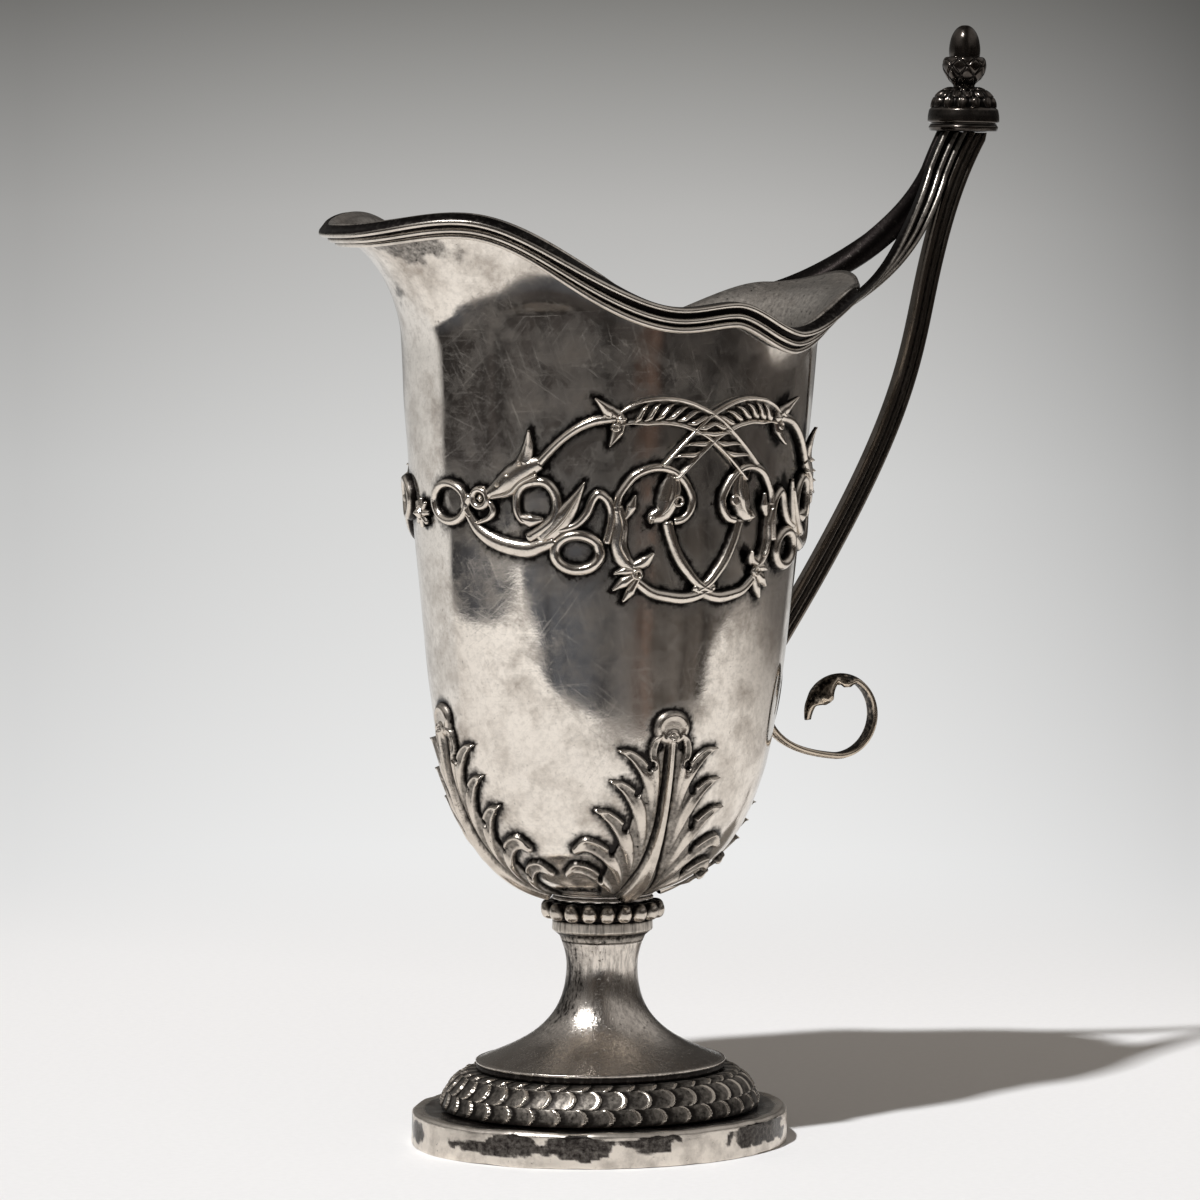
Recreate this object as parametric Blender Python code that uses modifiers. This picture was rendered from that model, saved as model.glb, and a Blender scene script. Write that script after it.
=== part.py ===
"""A silver milk jug of helmet form, built from the pieces a silversmith would solder together.

The jug stands on z = 0 with its spout towards -X and its handle towards +X. Angles round the bowl are
degrees from the spout: 90 is the left side (-Y), 180 the back, and -90 the right side.
"""

import math

import bmesh
import bpy
from mathutils import Vector

MM = 0.001
SEAT = 0.3 * MM  # clearance between pieces that are soldered together

# Plan of the oval pieces: their breadth over their length
OVAL = 0.84

# Plinth, a hollow oval plate
PLINTH_REACH = 39.0 * MM  # half its length
PLINTH_HEIGHT = 7.0 * MM
PLINTH_WALL = 2.4 * MM
PLINTH_TOP = 1.6 * MM
PLINTH_ARRIS = 0.5 * MM

# Band of overlapping scales on the plinth
BAND_REACH = 33.0 * MM
BAND_SHOULDER = 26.6 * MM  # half its length at the top
BAND_HEIGHT = 7.4 * MM
BAND_WALL = 2.6 * MM
BAND_BULGE = 1.7 * MM
SCALE_RELIEF = 0.7 * MM
SCALE_COUNT = 24
SCALE_ROWS = 2

# Trumpet foot with its waist
TRUMPET_REACH = 26.0 * MM
TRUMPET_HEIGHT = 25.8 * MM
TRUMPET_WALL = 1.4 * MM
WAIST_REACH = 7.4 * MM
WAIST_HEIGHT = 20.6 * MM  # above the rim of the trumpet
WAIST_FLARE = 1.1 * MM  # how much the stem widens again at its top

# Collar, bead ring and seat ring between stem and bowl
COLLAR_REACH = 10.4 * MM
COLLAR_HEIGHT = 3.9 * MM
COLLAR_LIP = 0.5 * MM  # how far its lip stands out under its upright band
BEAD_COUNT = 18
BEAD_WIDTH = 2.9 * MM
BEAD_HEIGHT = 3.6 * MM
BEAD_CORE_REACH = 10.8 * MM
SEAT_RING_REACH = 10.6 * MM
SEAT_RING_HEIGHT = 1.4 * MM
STEM_BORE = 5.0 * MM  # half the length of the hollow through the rings

# Bowl, raised from sheet. Heights are above its seat.
BOWL_WALL = 1.1 * MM
BOWL_SEAT_REACH = 10.8 * MM
BELLY_REACH = 33.8 * MM
BELLY_HEIGHT = 25.8 * MM
BELLY_LEAN = 0.24  # slope of the wall where the belly ends
MOUTH_REACH = 43.2 * MM
MOUTH_HEIGHT = 116.3 * MM

# Rim: half lengths and half breadth of its plan, and the heights of its wave
RIM_FRONT = 59.8 * MM
RIM_BACK = 53.4 * MM
RIM_BREADTH = 36.6 * MM
SPOUT_TIP_RISE = 132.2 * MM
CREST_RISE = 134.7 * MM
WAIST_RISE = 117.1 * MM
BUMP_RISE = 118.2 * MM
DIP_RISE = 113.1 * MM
SHOULDER_RISE = 121.2 * MM
BACK_RISE = 123.8 * MM
CREST_ANGLE = 40.0
WAIST_ANGLE = 87.0
BUMP_ANGLE = 99.0
DIP_ANGLE = 117.0
SHOULDER_ANGLE = 150.0
SPOUT_HASTE = 1.5  # under 1, that stretch of the wave does most of its climb early; over 1, late
SWOOP_HASTE = 1.15
SHOULDER_HASTE = 0.85
FLARE_FRONT = 24.0 * MM  # depth of the flare below the rim
FLARE_SIDE = 9.0 * MM
FLARE_BACK = 13.0 * MM
FLARE_TURN = math.radians(64.0)

# Reeded moulding, which runs round the rim and on as the upper half of the handle
MOULDING_WIDTH = 5.0 * MM
RIM_COVER = 0.8 * MM  # how far the top reed stands above the bowl's edge
MOULDING_THICKNESS = 1.8 * MM
REED_DEPTH = 0.8 * MM
LEAVING_ANGLE = 145.0  # where the moulding leaves the bowl
RIBBON_MEETING = math.radians(10.0)  # how much each ribbon turns inwards where the two meet

# Handle
LEG_WIDTH = 4.5 * MM
LEG_THICKNESS = 3.9 * MM
LEG_REED_DEPTH = 0.45 * MM
LEG_TOP_REACH = 84.3 * MM
HANDLE_RISE = 153.3 * MM  # top of the leg above the bowl's seat
ELBOW_REACH = 74.0 * MM
ELBOW_RISE = 126.8 * MM
LEG_FOOT_RISE = 46.8 * MM
ELBOW_LEAN = 0.25  # the leg's slope at the elbow
LEG_SWEEP = (0.42, 0.616)  # how far the leg's sweep swings out and up from its foot, in shares of its drop
PARTING = 0.42  # share of the leg's bent top along which the ribbons lie against it

# Escutcheon behind the handle's foot, and the scroll below it
ESCUTCHEON_WIDTH = 17.0 * MM
ESCUTCHEON_HEIGHT = 25.0 * MM
ESCUTCHEON_THICKNESS = 1.2 * MM
ESCUTCHEON_RISE = 39.3 * MM
SCROLL_WIDTH = 5.0 * MM
SCROLL_THICKNESS = 1.9 * MM
SCROLL_RADIUS = 8.3 * MM
SCROLL_RISE = 33.8 * MM
SCROLL_STAND_OFF = 18.5 * MM  # from the escutcheon to the middle of the curl
SCROLL_LEAF_WIDTH = 7.6 * MM

# Cap and acorn on the handle
CAP_REACH = 7.35 * MM
CAP_HEIGHT = 4.6 * MM
CAP_RING_HEIGHT = 1.2 * MM
DOME_REACH = 6.6 * MM
DOME_HEIGHT = 3.9 * MM
ACORN_NECK_REACH = 2.1 * MM
ACORN_CUP_REACH = 4.4 * MM
ACORN_CUP_HEIGHT = 5.9 * MM
ACORN_NUT_REACH = 3.2 * MM
ACORN_NUT_HEIGHT = 6.4 * MM

# Frieze of scrolls, cast and laid on the bowl
FRIEZE_RISE = 79.8 * MM
FRIEZE_MIDDLE = 95.0  # angle of each side panel's middle
FRIEZE_BACK_SHARE = 0.92  # the half towards the handle is drawn closer together
FRIEZE_THICKNESS = 1.5 * MM
FRIEZE_LINE = 0.75 * MM  # half the width of a plain stroke
FRIEZE_STEP = 5.4 * MM
FRIEZE_BROAD = 0.9 * MM  # a stroke of more than this half width has a flat top, a finer one a ridge
FRIEZE_LAYER = 0.11 * MM  # how far each stroke lies above the one before
FRIEZE_LAYERS = 5  # after so many, a stroke lies on the wall again
FRONT_RING_RADIUS = 4.3 * MM
FRONT_RING_ANGLE = 79.5  # from the panel's middle
FRONT_RING_DROP = 0.7 * MM

# Acanthus leaves, cast and laid round the bottom of the bowl
LEAF_HEIGHT = 41.8 * MM
BACK_LEAF_HEIGHT = 23.0 * MM
LEAF_RISE = 1.5 * MM
LEAF_WIDTH = 30.0 * MM
LEAF_THICKNESS = 1.3 * MM
LEAF_RIB = 0.9 * MM  # how far the midrib stands above the blade
LEAF_SWEEP = 0.55  # how much the lobes point upwards
LEAF_LOBES = 5
LEAF_COLUMNS = 3  # facets from the midrib to each edge

TURN_STEPS = 24
FINIAL_STEPS = 16
BOWL_COLUMNS = 36
BELLY_ROWS = 5
SIDE_ROWS = 3
FLARE_ROWS = 6
RIM_STATIONS = 31

# Heights of the stack, from the table up
BAND_Z = PLINTH_HEIGHT + SEAT
TRUMPET_Z = BAND_Z + BAND_HEIGHT + SEAT
COLLAR_Z = TRUMPET_Z + TRUMPET_HEIGHT + SEAT
BEADS_Z = COLLAR_Z + COLLAR_HEIGHT + SEAT
SEAT_RING_Z = BEADS_Z + BEAD_HEIGHT + SEAT
BOWL_Z = SEAT_RING_Z + SEAT_RING_HEIGHT + SEAT
HANDLE_TOP_Z = BOWL_Z + HANDLE_RISE


def clear_scene():
    for old in list(bpy.data.objects):
        bpy.data.objects.remove(old, do_unlink=True)


def new_collection(name, hidden=False):
    made = bpy.data.collections.new(name)
    bpy.context.scene.collection.children.link(made)
    made.hide_render = hidden
    return made


def silver(name, colour, roughness):
    material = bpy.data.materials.new(name)
    material.use_nodes = True
    shader = material.node_tree.nodes["Principled BSDF"]
    shader.inputs["Base Color"].default_value = (*colour, 1.0)
    shader.inputs["Metallic"].default_value = 1.0
    shader.inputs["Roughness"].default_value = roughness
    return material


BRIGHT = (0.62, 0.58, 0.53)
WORN = (0.45, 0.42, 0.38)
DARK = (0.16, 0.15, 0.14)


def add_part(name, mesh, colour=WORN, roughness=0.3):
    part = bpy.data.objects.new(name, mesh)
    PARTS.objects.link(part)
    part.parent = STAND
    mesh.materials.append(silver(name + "_silver", colour, roughness))
    mesh.shade_smooth()
    mesh.set_sharp_from_angle(angle=math.radians(40))
    return part


def add_cutter(name, mesh):
    cutter = bpy.data.objects.new(name, mesh)
    CUTTERS.objects.link(cutter)
    cutter.parent = STAND
    cutter.hide_render = True
    cutter.display_type = "WIRE"
    return cutter


def mesh_from(name, points, faces):
    """A closed mesh of flat facets, with its faces turned outwards."""
    mesh = bpy.data.meshes.new(name)
    mesh.from_pydata([tuple(p) for p in points], [], faces)
    work = bmesh.new()
    work.from_mesh(mesh)
    bmesh.ops.recalc_face_normals(work, faces=work.faces)
    bmesh.ops.triangulate(work, faces=work.faces)
    work.to_mesh(mesh)
    work.free()
    return mesh


def turned(name, profile, colour=WORN, roughness=0.3, oval=OVAL, steps=TURN_STEPS):
    """A profile of (reach, height) turned round Z by a Screw modifier, then drawn out to an oval."""
    mesh = bpy.data.meshes.new(name)
    last = len(profile) - 1
    edges = [(i, i + 1) for i in range(last)]
    if profile[0][0] > 0:
        edges.append((last, 0))
    mesh.from_pydata([(reach, 0.0, height) for reach, height in profile], edges, [])
    part = add_part(name, mesh, colour, roughness)
    part.scale.y = oval
    screw = part.modifiers.new("turn", "SCREW")
    screw.steps = steps
    screw.render_steps = steps
    screw.use_merge_vertices = True
    screw.merge_threshold = 0.00001
    screw.use_smooth_shade = True
    return part


def cubic(points, t):
    """A point on the cubic curve with these four control points."""
    a, b, c, d = points
    r = 1 - t
    return a * r**3 + b * (3 * r * r * t) + c * (3 * r * t * t) + d * t**3


def ease(t):
    return t * t * (3 - 2 * t)


def shares(count):
    """Evenly spaced numbers from 0 to 1."""
    return [i / (count - 1) for i in range(count)]


def swept(rings, closed=False):
    """Points and faces of a section carried along a path, with flat ends unless it is closed."""
    sides = len(rings[0])
    points = [p for ring in rings for p in ring]
    faces = []
    for i in range(len(rings) - (0 if closed else 1)):
        here = i * sides
        there = (i + 1) % len(rings) * sides
        for j in range(sides):
            k = (j + 1) % sides
            faces.append((here + j, here + k, there + k, there + j))
    if not closed:
        faces.append(tuple(range(sides)))
        faces.append(tuple(range(len(points) - sides, len(points))))
    return points, faces


def joined(pieces):
    """Several (points, faces) as one."""
    points, faces = [], []
    for more_points, more_faces in pieces:
        faces += [tuple(i + len(points) for i in face) for face in more_faces]
        points += more_points
    return points, faces


def unite(part, cutter):
    union = part.modifiers.new("unite", "BOOLEAN")
    union.operation = "UNION"
    union.solver = "EXACT"
    union.use_self = True
    union.object = cutter


# The bowl's outer surface


def bowl_outline(count=60):
    """(height above the seat, half length) up the side: a belly curve and a long, slowly opening wall."""
    belly = [
        Vector((BOWL_SEAT_REACH, 0.0)),
        Vector((BOWL_SEAT_REACH + (BELLY_REACH - BOWL_SEAT_REACH) * 0.5, BELLY_HEIGHT * 0.09)),
        Vector((BELLY_REACH - BELLY_LEAN * BELLY_HEIGHT * 0.55, BELLY_HEIGHT * 0.45)),
        Vector((BELLY_REACH, BELLY_HEIGHT)),
    ]
    rise = MOUTH_HEIGHT - BELLY_HEIGHT
    side = [
        Vector((BELLY_REACH, BELLY_HEIGHT)),
        Vector((BELLY_REACH + BELLY_LEAN * rise * 0.13, BELLY_HEIGHT + rise * 0.13)),
        Vector((MOUTH_REACH - (MOUTH_REACH - BELLY_REACH) * 0.16, BELLY_HEIGHT + rise * 0.65)),
        Vector((MOUTH_REACH, MOUTH_HEIGHT)),
    ]
    points = [cubic(curve, t) for curve in (belly, side) for t in shares(count)]
    return [(p.y, p.x) for p in points]


OUTLINE = bowl_outline()


def body_reach(rise):
    """Half the length of the bowl at this height above its seat, without the flare of the rim."""
    for (low, near), (high, far) in zip(OUTLINE, OUTLINE[1:]):
        if rise <= high and high > low:
            return near + (far - near) * max(0.0, rise - low) / (high - low)
    return OUTLINE[-1][1]


def wall_at(angle, rise):
    u = math.radians(angle)
    reach = body_reach(rise)
    return Vector((-reach * math.cos(u), -OVAL * reach * math.sin(u), BOWL_Z + rise))


def wall_normal(angle, rise):
    across = wall_at(angle + 0.5, rise) - wall_at(angle - 0.5, rise)
    up = wall_at(angle, rise + 0.5 * MM) - wall_at(angle, rise - 0.5 * MM)
    return across.cross(up).normalized()


def off_wall(angle, rise, height):
    return wall_at(angle, rise) + wall_normal(angle, rise) * height


def degrees_per_metre(angle, rise):
    """Turns a length along the wall into an angle round it."""
    return 1.0 / (wall_at(angle + 0.5, rise) - wall_at(angle - 0.5, rise)).length


def rim_rise(angle):
    """Height of the rim: a wave that eases from each crest or dip to the next."""
    turn = abs((angle + 180.0) % 360.0 - 180.0)
    stops = [
        (0.0, SPOUT_TIP_RISE, SPOUT_HASTE),
        (CREST_ANGLE, CREST_RISE, SWOOP_HASTE),
        (WAIST_ANGLE, WAIST_RISE, 1.0),
        (BUMP_ANGLE, BUMP_RISE, 1.0),
        (DIP_ANGLE, DIP_RISE, SHOULDER_HASTE),
        (SHOULDER_ANGLE, SHOULDER_RISE, 1.0),
        (180.0, BACK_RISE, 1.0),
    ]
    for (a, low, haste), (b, high, _) in zip(stops, stops[1:]):
        if turn <= b:
            return low + (high - low) * ease(((turn - a) / (b - a)) ** haste)
    return BACK_RISE


def flare_point(angle, share):
    """A point of the flare: share 0 is where it leaves the body, 1 is the edge of the rim."""
    u = math.radians(angle)
    ahead = math.cos(u)
    far = FLARE_FRONT if ahead > 0 else FLARE_BACK
    depth = FLARE_SIDE + (far - FLARE_SIDE) * ahead * ahead
    top = rim_rise(angle)
    lift = math.sin(share * FLARE_TURN) / math.sin(FLARE_TURN)
    out = (1 - math.cos(share * FLARE_TURN)) / (1 - math.cos(FLARE_TURN))
    point = wall_at(angle, top - depth + depth * lift)
    edge = Vector((-(RIM_FRONT if ahead > 0 else RIM_BACK) * ahead, -RIM_BREADTH * math.sin(u), 0.0))
    spread = (edge - wall_at(angle, top)) * out
    return point + Vector((spread.x, spread.y, 0.0))


def bowl_rows():
    """Rows of points up the bowl: round the belly, up the side, and out along the flare to the rim."""
    around = [360.0 * i / BOWL_COLUMNS for i in range(BOWL_COLUMNS)]
    rows = []
    for i in range(BELLY_ROWS):
        rise = BELLY_HEIGHT * (1 - math.cos(math.pi / 2 * i / BELLY_ROWS))
        rows.append([wall_at(angle, rise) for angle in around])
    for i in range(SIDE_ROWS):
        row = []
        for angle in around:
            climb = flare_point(angle, 0.0).z - BOWL_Z - BELLY_HEIGHT
            row.append(wall_at(angle, BELLY_HEIGHT + climb * i / SIDE_ROWS))
        rows.append(row)
    for i in range(FLARE_ROWS + 1):
        rows.append([flare_point(angle, i / FLARE_ROWS) for angle in around])
    return rows


def build_bowl():
    """The outer skin as a loft of ovals, given its wall by Solidify."""
    rows = bowl_rows()
    points = [p for row in rows for p in row]
    faces = [tuple(reversed(range(BOWL_COLUMNS)))]
    for i in range(len(rows) - 1):
        here, there = i * BOWL_COLUMNS, (i + 1) * BOWL_COLUMNS
        for j in range(BOWL_COLUMNS):
            k = (j + 1) % BOWL_COLUMNS
            faces.append((here + j, here + k, there + k, there + j))
    mesh = bpy.data.meshes.new("bowl")
    mesh.from_pydata([tuple(p) for p in points], [], faces)
    bowl = add_part("bowl", mesh, BRIGHT, 0.25)
    wall = bowl.modifiers.new("wall", "SOLIDIFY")
    wall.thickness = BOWL_WALL
    wall.offset = -1.0
    wall.use_even_offset = True


# The foot


def build_plinth():
    inner = BAND_REACH - BAND_WALL * 0.5
    wall_in = PLINTH_REACH - PLINTH_WALL
    under = PLINTH_HEIGHT - PLINTH_TOP
    profile = [
        (inner, PLINTH_HEIGHT),
        (PLINTH_REACH - PLINTH_ARRIS, PLINTH_HEIGHT),
        (PLINTH_REACH, PLINTH_HEIGHT - PLINTH_ARRIS),
        (PLINTH_REACH, 0.0),
        (wall_in, 0.0),
        (wall_in, under),
        (inner, under),
    ]
    turned("plinth", profile, BRIGHT, 0.3)


def build_scale_band():
    """Rows of scales that overlap like coins: each rises along its length and drops at its round end."""
    per_scale = 3
    columns = SCALE_COUNT * per_scale
    rings = []
    for i in range(columns):
        u = 2 * math.pi * i / columns
        ring = []
        steps = 2 * SCALE_ROWS + 1
        for j in range(steps + 1):
            t = j / steps
            row = min(SCALE_ROWS - 1, int(t * SCALE_ROWS))
            phase = (i + row * per_scale // 2) % per_scale / (per_scale - 1)
            edge = 0.0 if j in (0, steps) else 1.0
            bulge = BAND_BULGE * math.sin(math.pi * t) + SCALE_RELIEF * phase * edge
            reach = BAND_SHOULDER + (BAND_REACH - BAND_SHOULDER) * t + bulge * 0.7
            ring.append((reach, BAND_Z + BAND_HEIGHT * (1 - t) + bulge * 0.5 * edge))
        ring.append((BAND_REACH - BAND_WALL * 1.6, BAND_Z))
        ring.append((BAND_SHOULDER - BAND_WALL, BAND_Z + BAND_HEIGHT))
        rings.append([Vector((r * math.cos(u), OVAL * r * math.sin(u), z)) for r, z in ring])
    add_part("scale_band", mesh_from("scale_band", *swept(rings, closed=True)), DARK, 0.4)


def trumpet_outline(shift, count=6):
    """(reach, height) from the stem's top down to the rim, moved inwards by shift."""
    bell = [
        Vector((WAIST_REACH - shift, WAIST_HEIGHT)),
        Vector((WAIST_REACH - shift, WAIST_HEIGHT * 0.47)),
        Vector((WAIST_REACH + (TRUMPET_REACH - WAIST_REACH) * 0.36 - shift, WAIST_HEIGHT * 0.31)),
        Vector((TRUMPET_REACH - shift, 0.0)),
    ]
    points = [(WAIST_REACH + WAIST_FLARE - shift, TRUMPET_HEIGHT)]
    middle = (TRUMPET_HEIGHT + WAIST_HEIGHT) / 2
    points.append((WAIST_REACH + WAIST_FLARE * 0.3 - shift, middle))
    points += [tuple(cubic(bell, t)) for t in shares(count)]
    return [(reach, TRUMPET_Z + height) for reach, height in points]


def build_foot():
    build_plinth()
    build_scale_band()
    inside = list(reversed(trumpet_outline(TRUMPET_WALL)))
    turned("foot_trumpet", trumpet_outline(0.0) + inside, WORN, 0.3)
    neck = WAIST_REACH + WAIST_FLARE
    collar = [
        (COLLAR_REACH - COLLAR_LIP, COLLAR_Z + COLLAR_HEIGHT),
        (COLLAR_REACH - COLLAR_LIP, COLLAR_Z + COLLAR_HEIGHT * 0.72),
        (COLLAR_REACH, COLLAR_Z + COLLAR_HEIGHT * 0.62),
        (COLLAR_REACH, COLLAR_Z + COLLAR_HEIGHT * 0.48),
        (neck + COLLAR_LIP, COLLAR_Z + COLLAR_HEIGHT * 0.24),
        (neck, COLLAR_Z),
        (STEM_BORE, COLLAR_Z),
        (STEM_BORE, COLLAR_Z + COLLAR_HEIGHT),
    ]
    turned("stem_collar", collar, BRIGHT, 0.35)
    build_bead_ring()
    ring_top = SEAT_RING_Z + SEAT_RING_HEIGHT
    ring = [
        (SEAT_RING_REACH - SEAT_RING_HEIGHT * 0.3, ring_top),
        (SEAT_RING_REACH, ring_top - SEAT_RING_HEIGHT * 0.3),
        (SEAT_RING_REACH, SEAT_RING_Z + SEAT_RING_HEIGHT * 0.3),
        (SEAT_RING_REACH - SEAT_RING_HEIGHT * 0.3, SEAT_RING_Z),
        (STEM_BORE, SEAT_RING_Z),
        (STEM_BORE, ring_top),
    ]
    turned("seat_ring", ring, WORN, 0.35)


def even_angles(reach, breadth, count):
    """Angles that divide an oval into equal lengths."""
    fine = 720
    lengths = [0.0]
    for i in range(fine):
        a, b = 2 * math.pi * i / fine, 2 * math.pi * (i + 1) / fine
        run = math.hypot(
            reach * (math.cos(b) - math.cos(a)), breadth * (math.sin(b) - math.sin(a))
        )
        lengths.append(lengths[-1] + run)
    angles = []
    for k in range(count):
        want = lengths[-1] * k / count
        i = next(i for i in range(fine) if lengths[i + 1] > want)
        part = (want - lengths[i]) / (lengths[i + 1] - lengths[i])
        angles.append(2 * math.pi * (i + part) / fine)
    return angles


def build_bead_ring():
    """A ring whose outside swells into beads, with a crease between each two."""
    middle = BEADS_Z + BEAD_HEIGHT / 2
    steps = 4
    rings = []
    for i, u in enumerate(even_angles(BEAD_CORE_REACH, OVAL * BEAD_CORE_REACH, BEAD_COUNT * steps)):
        swell = math.sqrt(1 - (i % steps * 2 / steps - 1) ** 2)
        ring = []
        for tilt in (70.0, 0.0, -70.0):
            out = BEAD_WIDTH * (0.25 + 0.55 * swell) * math.cos(math.radians(tilt))
            up = BEAD_HEIGHT / 2 * math.sin(math.radians(tilt)) * (0.8 + 0.2 * swell)
            ring.append((BEAD_CORE_REACH + out, middle + up))
        ring.append((STEM_BORE, BEADS_Z))
        ring.append((STEM_BORE, BEADS_Z + BEAD_HEIGHT))
        rings.append([Vector((r * math.cos(u), OVAL * r * math.sin(u), z)) for r, z in ring])
    add_part("bead_ring", mesh_from("bead_ring", *swept(rings, closed=True)), WORN, 0.25)


# The rim moulding and the handle


def reeded_section():
    """(along the width, outwards) of the drawn strip: a plain back and three reeds with hollows between."""
    half = MOULDING_WIDTH / 2
    top = MOULDING_THICKNESS
    deep = MOULDING_THICKNESS - REED_DEPTH
    waves = [(1.0, deep), (0.78, top), (0.42, deep), (0.06, top), (-0.3, deep), (-0.68, top), (-1.0, deep)]
    return [(half, 0.0)] + [(half * w, n) for w, n in waves] + [(-half, 0.0)]


def rim_station(angle):
    """Middle of the strip's back on the rim at this angle, with its directions along, outwards and up."""
    edge = flare_point(angle, 1.0)
    along = (flare_point(angle + 0.5, 1.0) - flare_point(angle - 0.5, 1.0)).normalized()
    low, high = 0.0, 1.0
    for _ in range(24):
        share = (low + high) / 2
        below = squarely_below(edge, along, angle, share)
        if (edge - below).length > MOULDING_WIDTH:
            low = share
        else:
            high = share
    up = (edge - below).normalized()
    out = along.cross(up).normalized()
    middle = edge + up * (RIM_COVER - MOULDING_WIDTH / 2)
    return middle + out * (SEAT + flare_dip()), along, out


def flare_dip():
    """How far the flat facets of the bowl's flare stand out of its hollow curve."""
    radius = max(FLARE_FRONT, FLARE_SIDE, FLARE_BACK) / math.sin(FLARE_TURN)
    return radius * (1 - math.cos(FLARE_TURN / FLARE_ROWS / 2))


def squarely_below(edge, along, angle, share):
    """The point of the flare at this share that lies square to the rim under its edge."""
    place = angle
    for _ in range(8):
        off = (flare_point(place, share) - edge).dot(along)
        per_degree = (flare_point(place + 0.5, share) - flare_point(place - 0.5, share)).dot(along)
        place -= off / per_degree
    return flare_point(place, share)


def leg_curves():
    """The leg's middle line: a bent top from the cap to the elbow, then a long sweep to the bowl."""
    top = Vector((LEG_TOP_REACH, 0.0, HANDLE_TOP_Z))
    elbow = Vector((ELBOW_REACH, 0.0, BOWL_Z + ELBOW_RISE))
    foot = off_wall(180.0, LEG_FOOT_RISE, 0.0)
    bend = top.z - elbow.z
    drop = elbow.z - foot.z
    upper = [
        top,
        top - Vector((bend * 0.18, 0.0, bend * 0.3)),
        elbow + Vector((ELBOW_LEAN, 0.0, 1.0)) * bend * 0.4,
        elbow,
    ]
    lower = [
        elbow,
        elbow - Vector((ELBOW_LEAN, 0.0, 1.0)) * drop * 0.25,
        foot + Vector((LEG_SWEEP[0], 0.0, LEG_SWEEP[1])) * drop,
        foot,
    ]
    return upper, lower


def stem_station(share):
    """Point, downward direction and forward direction on the leg's bent top."""
    upper, _ = leg_curves()
    point = cubic(upper, share)
    down = (cubic(upper, share + 0.01) - cubic(upper, share - 0.01)).normalized()
    return point, down, Vector((down.z, 0.0, -down.x))


def ribbon_on_stem(share):
    """Middle line of the pair of ribbons where they lie in front of the leg."""
    point, down, ahead = stem_station(share)
    return point + ahead * (LEG_WIDTH / 2 + SEAT + MOULDING_WIDTH / 2), -down


def ribbon_stations():
    """The left ribbon from the rim to the cap: (middle of its back, along, outwards)."""
    start, along, out = rim_station(LEAVING_ANGLE)
    end, rising = ribbon_on_stem(PARTING)
    left = Vector((0.0, -1.0, 0.0))
    end = end + left * (SEAT / 2)
    span = (end - start).length
    first = start + along * span * 0.2
    meeting = rising * math.cos(RIBBON_MEETING) - left * math.sin(RIBBON_MEETING)
    second = end - meeting * span * 0.4
    curve = [start, first, second, end]
    stations = []
    for share in shares(10)[1:]:
        heading = (cubic(curve, min(1.0, share + 0.01)) - cubic(curve, share - 0.01)).normalized()
        stations.append((cubic(curve, share), heading, out.lerp(left, ease(share)).normalized()))
    low, high = 0.0, PARTING
    for _ in range(24):
        top = (low + high) / 2
        if ribbon_on_stem(top)[0].z > HANDLE_TOP_Z:
            low = top
        else:
            high = top
    for share in shares(5)[1:]:
        point, heading = ribbon_on_stem(PARTING + (top - PARTING) * share)
        stations.append((point + left * (SEAT / 2), heading, left))
    return stations


def cut_level(ring, heading, height):
    """Slides the points of a ring along its heading onto the level plane at this height."""
    return [p + heading * ((height - p.z) / heading.z) for p in ring]


def build_rim_moulding(name, side):
    """One length of reeded strip: from the middle of the spout round the rim, then up to the cap."""
    first = math.degrees(math.asin(SEAT / 2 / RIM_BREADTH))
    stations = [rim_station(first + (LEAVING_ANGLE - first) * share) for share in shares(RIM_STATIONS)]
    stations += ribbon_stations()
    rings = []
    for middle, along, out in stations:
        up = out.cross(along).normalized()
        out = along.cross(up).normalized()
        rings.append([middle + up * w + out * n for w, n in reeded_section()])
    rings[0] = [Vector((p.x, -SEAT / 2, p.z)) for p in rings[0]]
    rings[-1] = cut_level(rings[-1], stations[-1][1], HANDLE_TOP_Z)
    rings = [[Vector((p.x, p.y * side, p.z)) for p in ring] for ring in rings]
    add_part(name, mesh_from(name, *swept(rings)), WORN, 0.25)


def escutcheon_face(rise, across):
    """A point on the outside of the escutcheon, across metres to the right of the back."""
    angle = 180.0 + across * degrees_per_metre(180.0, rise)
    return off_wall(angle, rise, SEAT + ESCUTCHEON_THICKNESS)


def onto_escutcheon(point, heading):
    """Slides a point along its heading until it is one clearance from the escutcheon."""
    low, high = -LEG_WIDTH * 3, LEG_WIDTH * 3
    for _ in range(40):
        run = (low + high) / 2
        moved = point + heading * run
        face = escutcheon_face(moved.z - BOWL_Z, moved.y)
        if moved.x - face.x > SEAT * 1.1:
            low = run
        else:
            high = run
    return point + heading * low


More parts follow.
